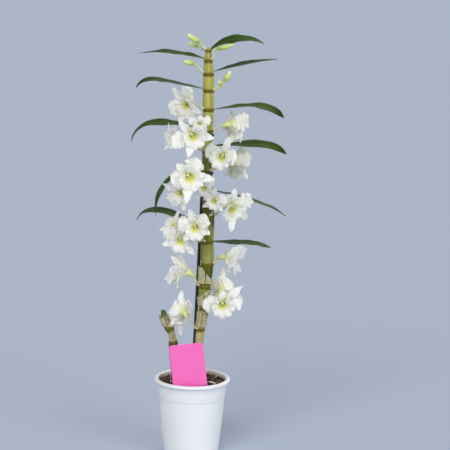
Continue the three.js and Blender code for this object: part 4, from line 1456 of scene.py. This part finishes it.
def label():
    half, top, corner = LABEL["width"] / 2, LABEL["height"], LABEL["corner"]
    neck = LABEL["spike_width"] / 2
    below = [[-LABEL["spike"], 0.3], [-20, 3.2], [-6, 5.9], [-0.4, neck], [-0.02, neck + 1]]
    sides = [[z, half] for z in np.linspace(0, top - corner, 22)]
    round_top = [
        [top - corner + corner * math.sin(a), half - corner + corner * math.cos(a)]
        for a in np.linspace(0.12, np.pi / 2, 9)
    ]
    rows = np.array(below + sides + round_top)
    x = rows[:, 1:] * np.linspace(-1, 1, 31)[None, :]
    bow = LABEL["bow"] * (x / half) ** 2 + 0.5 * (rows[:, :1] / top) ** 2
    grid = np.stack([x, -bow + 0.6, rows[:, :1] + 0 * x], axis=2)
    c, s = cos_sin(LABEL["lean"])
    axes = [[c, 0, s], [0, 1, 0], [-s, 0, c]]
    card = sheet(grid, LABEL["thickness"])
    made = Piece().add(card, 0, axes, LABEL["place"]).build("orchid_label", [LABEL_PINK])
    return settle(made, "label", "plant_tag")


print("label:", len(label().data.polygons), "faces")

# %% [markdown]
# ## Floor, light and camera
#
# The plant stands on a plain pale floor. Three broad, soft suns light it: one from the front left
# gives the petals their gentle shading, one fills from the right, and one behind lets light
# through the thin edges. The camera looks a little down from in front.

# %% Floor
def floor():
    """A plain sheet, so wide that its edge lies out of sight."""
    graph = Finish("floor_pale", Roughness=1.0, Specular_IOR_Level=0.0)
    mesh = bpy.data.meshes.new("floor")
    far = 400
    mesh.from_pydata([(-far, -far, 0), (far, -far, 0), (far, far, 0), (-far, far, 0)], [], [(0, 1, 2, 3)])
    mesh.materials.append(graph.worn(graph.paint((176, 187, 206), (graph.noise(0.5), (180, 191, 210)))))
    placed("floor", mesh)


floor()

# %% Light
def light(name, place, strength, spread, color):
    """A soft sun. It shines from that place at the middle of the plant, from a wide patch of sky."""
    lamp = bpy.data.lights.new(name, "SUN")
    lamp.energy, lamp.angle, lamp.color = strength, math.radians(spread), color
    made = placed(name, lamp)
    made.location = place
    made.rotation_euler = (Vector((0, 0, 0.33)) - Vector(place)).to_track_quat("-Z", "Y").to_euler()


def sky():
    """Even light from all round. To the eye it has the colour of the far floor, so none of it shows."""
    world = bpy.data.worlds.new("soft_room")
    bpy.context.scene.world = world
    world.use_nodes = True
    graph = Graph(world.node_tree)
    seen = graph.node("ShaderNodeLightPath")["Is Camera Ray"]
    color = graph.mix(seen, (0.8, 0.8, 0.8, 1), (0.824, 0.934, 1.137, 1))
    graph.feed(world.node_tree.nodes["Background"], {"Color": color, "Strength": 0.5})


sky()
light("key", (-0.75, -2.0, 1.7), 1.55, 36, (1, 0.985, 0.95))
light("fill", (1.5, -1.5, 0.9), 1.2, 38, (0.98, 0.99, 1))
light("back", (0.9, 1.7, 1.4), 0.92, 32, (1, 0.99, 0.96))
print("lamps:", [lamp.name for lamp in bpy.data.lights])

# %% Camera
CAMERA = dict(place=(0.04689, -2.04724, 0.67171), down=8.5, roll=1.2, lens=106.72)


def camera():
    """The camera stands 2 m in front, looks down and is rolled a little."""
    (level, drop), (c, s) = cos_sin(CAMERA["down"]), cos_sin(CAMERA["roll"])
    ahead, up, right = Vector((0, level, -drop)), Vector((0, drop, level)), Vector((1, 0, 0))
    lens = bpy.data.cameras.new("camera")
    lens.sensor_width, lens.lens = 36, CAMERA["lens"]
    made = placed("camera", lens)
    turn = Matrix((right * c + up * s, up * c - right * s, -ahead)).transposed()
    made.matrix_world = Matrix.Translation(CAMERA["place"]) @ turn.to_4x4()
    bpy.context.scene.camera = made


camera()
bpy.context.scene.view_settings.view_transform = "Standard"
print("the lens is", CAMERA["lens"], "mm long")

# %% [markdown]
# ## Sizes
#
# The frame's box is measured when the frame is loaded, at the start. The dressed plant
# may stand only a little proud of the frame.
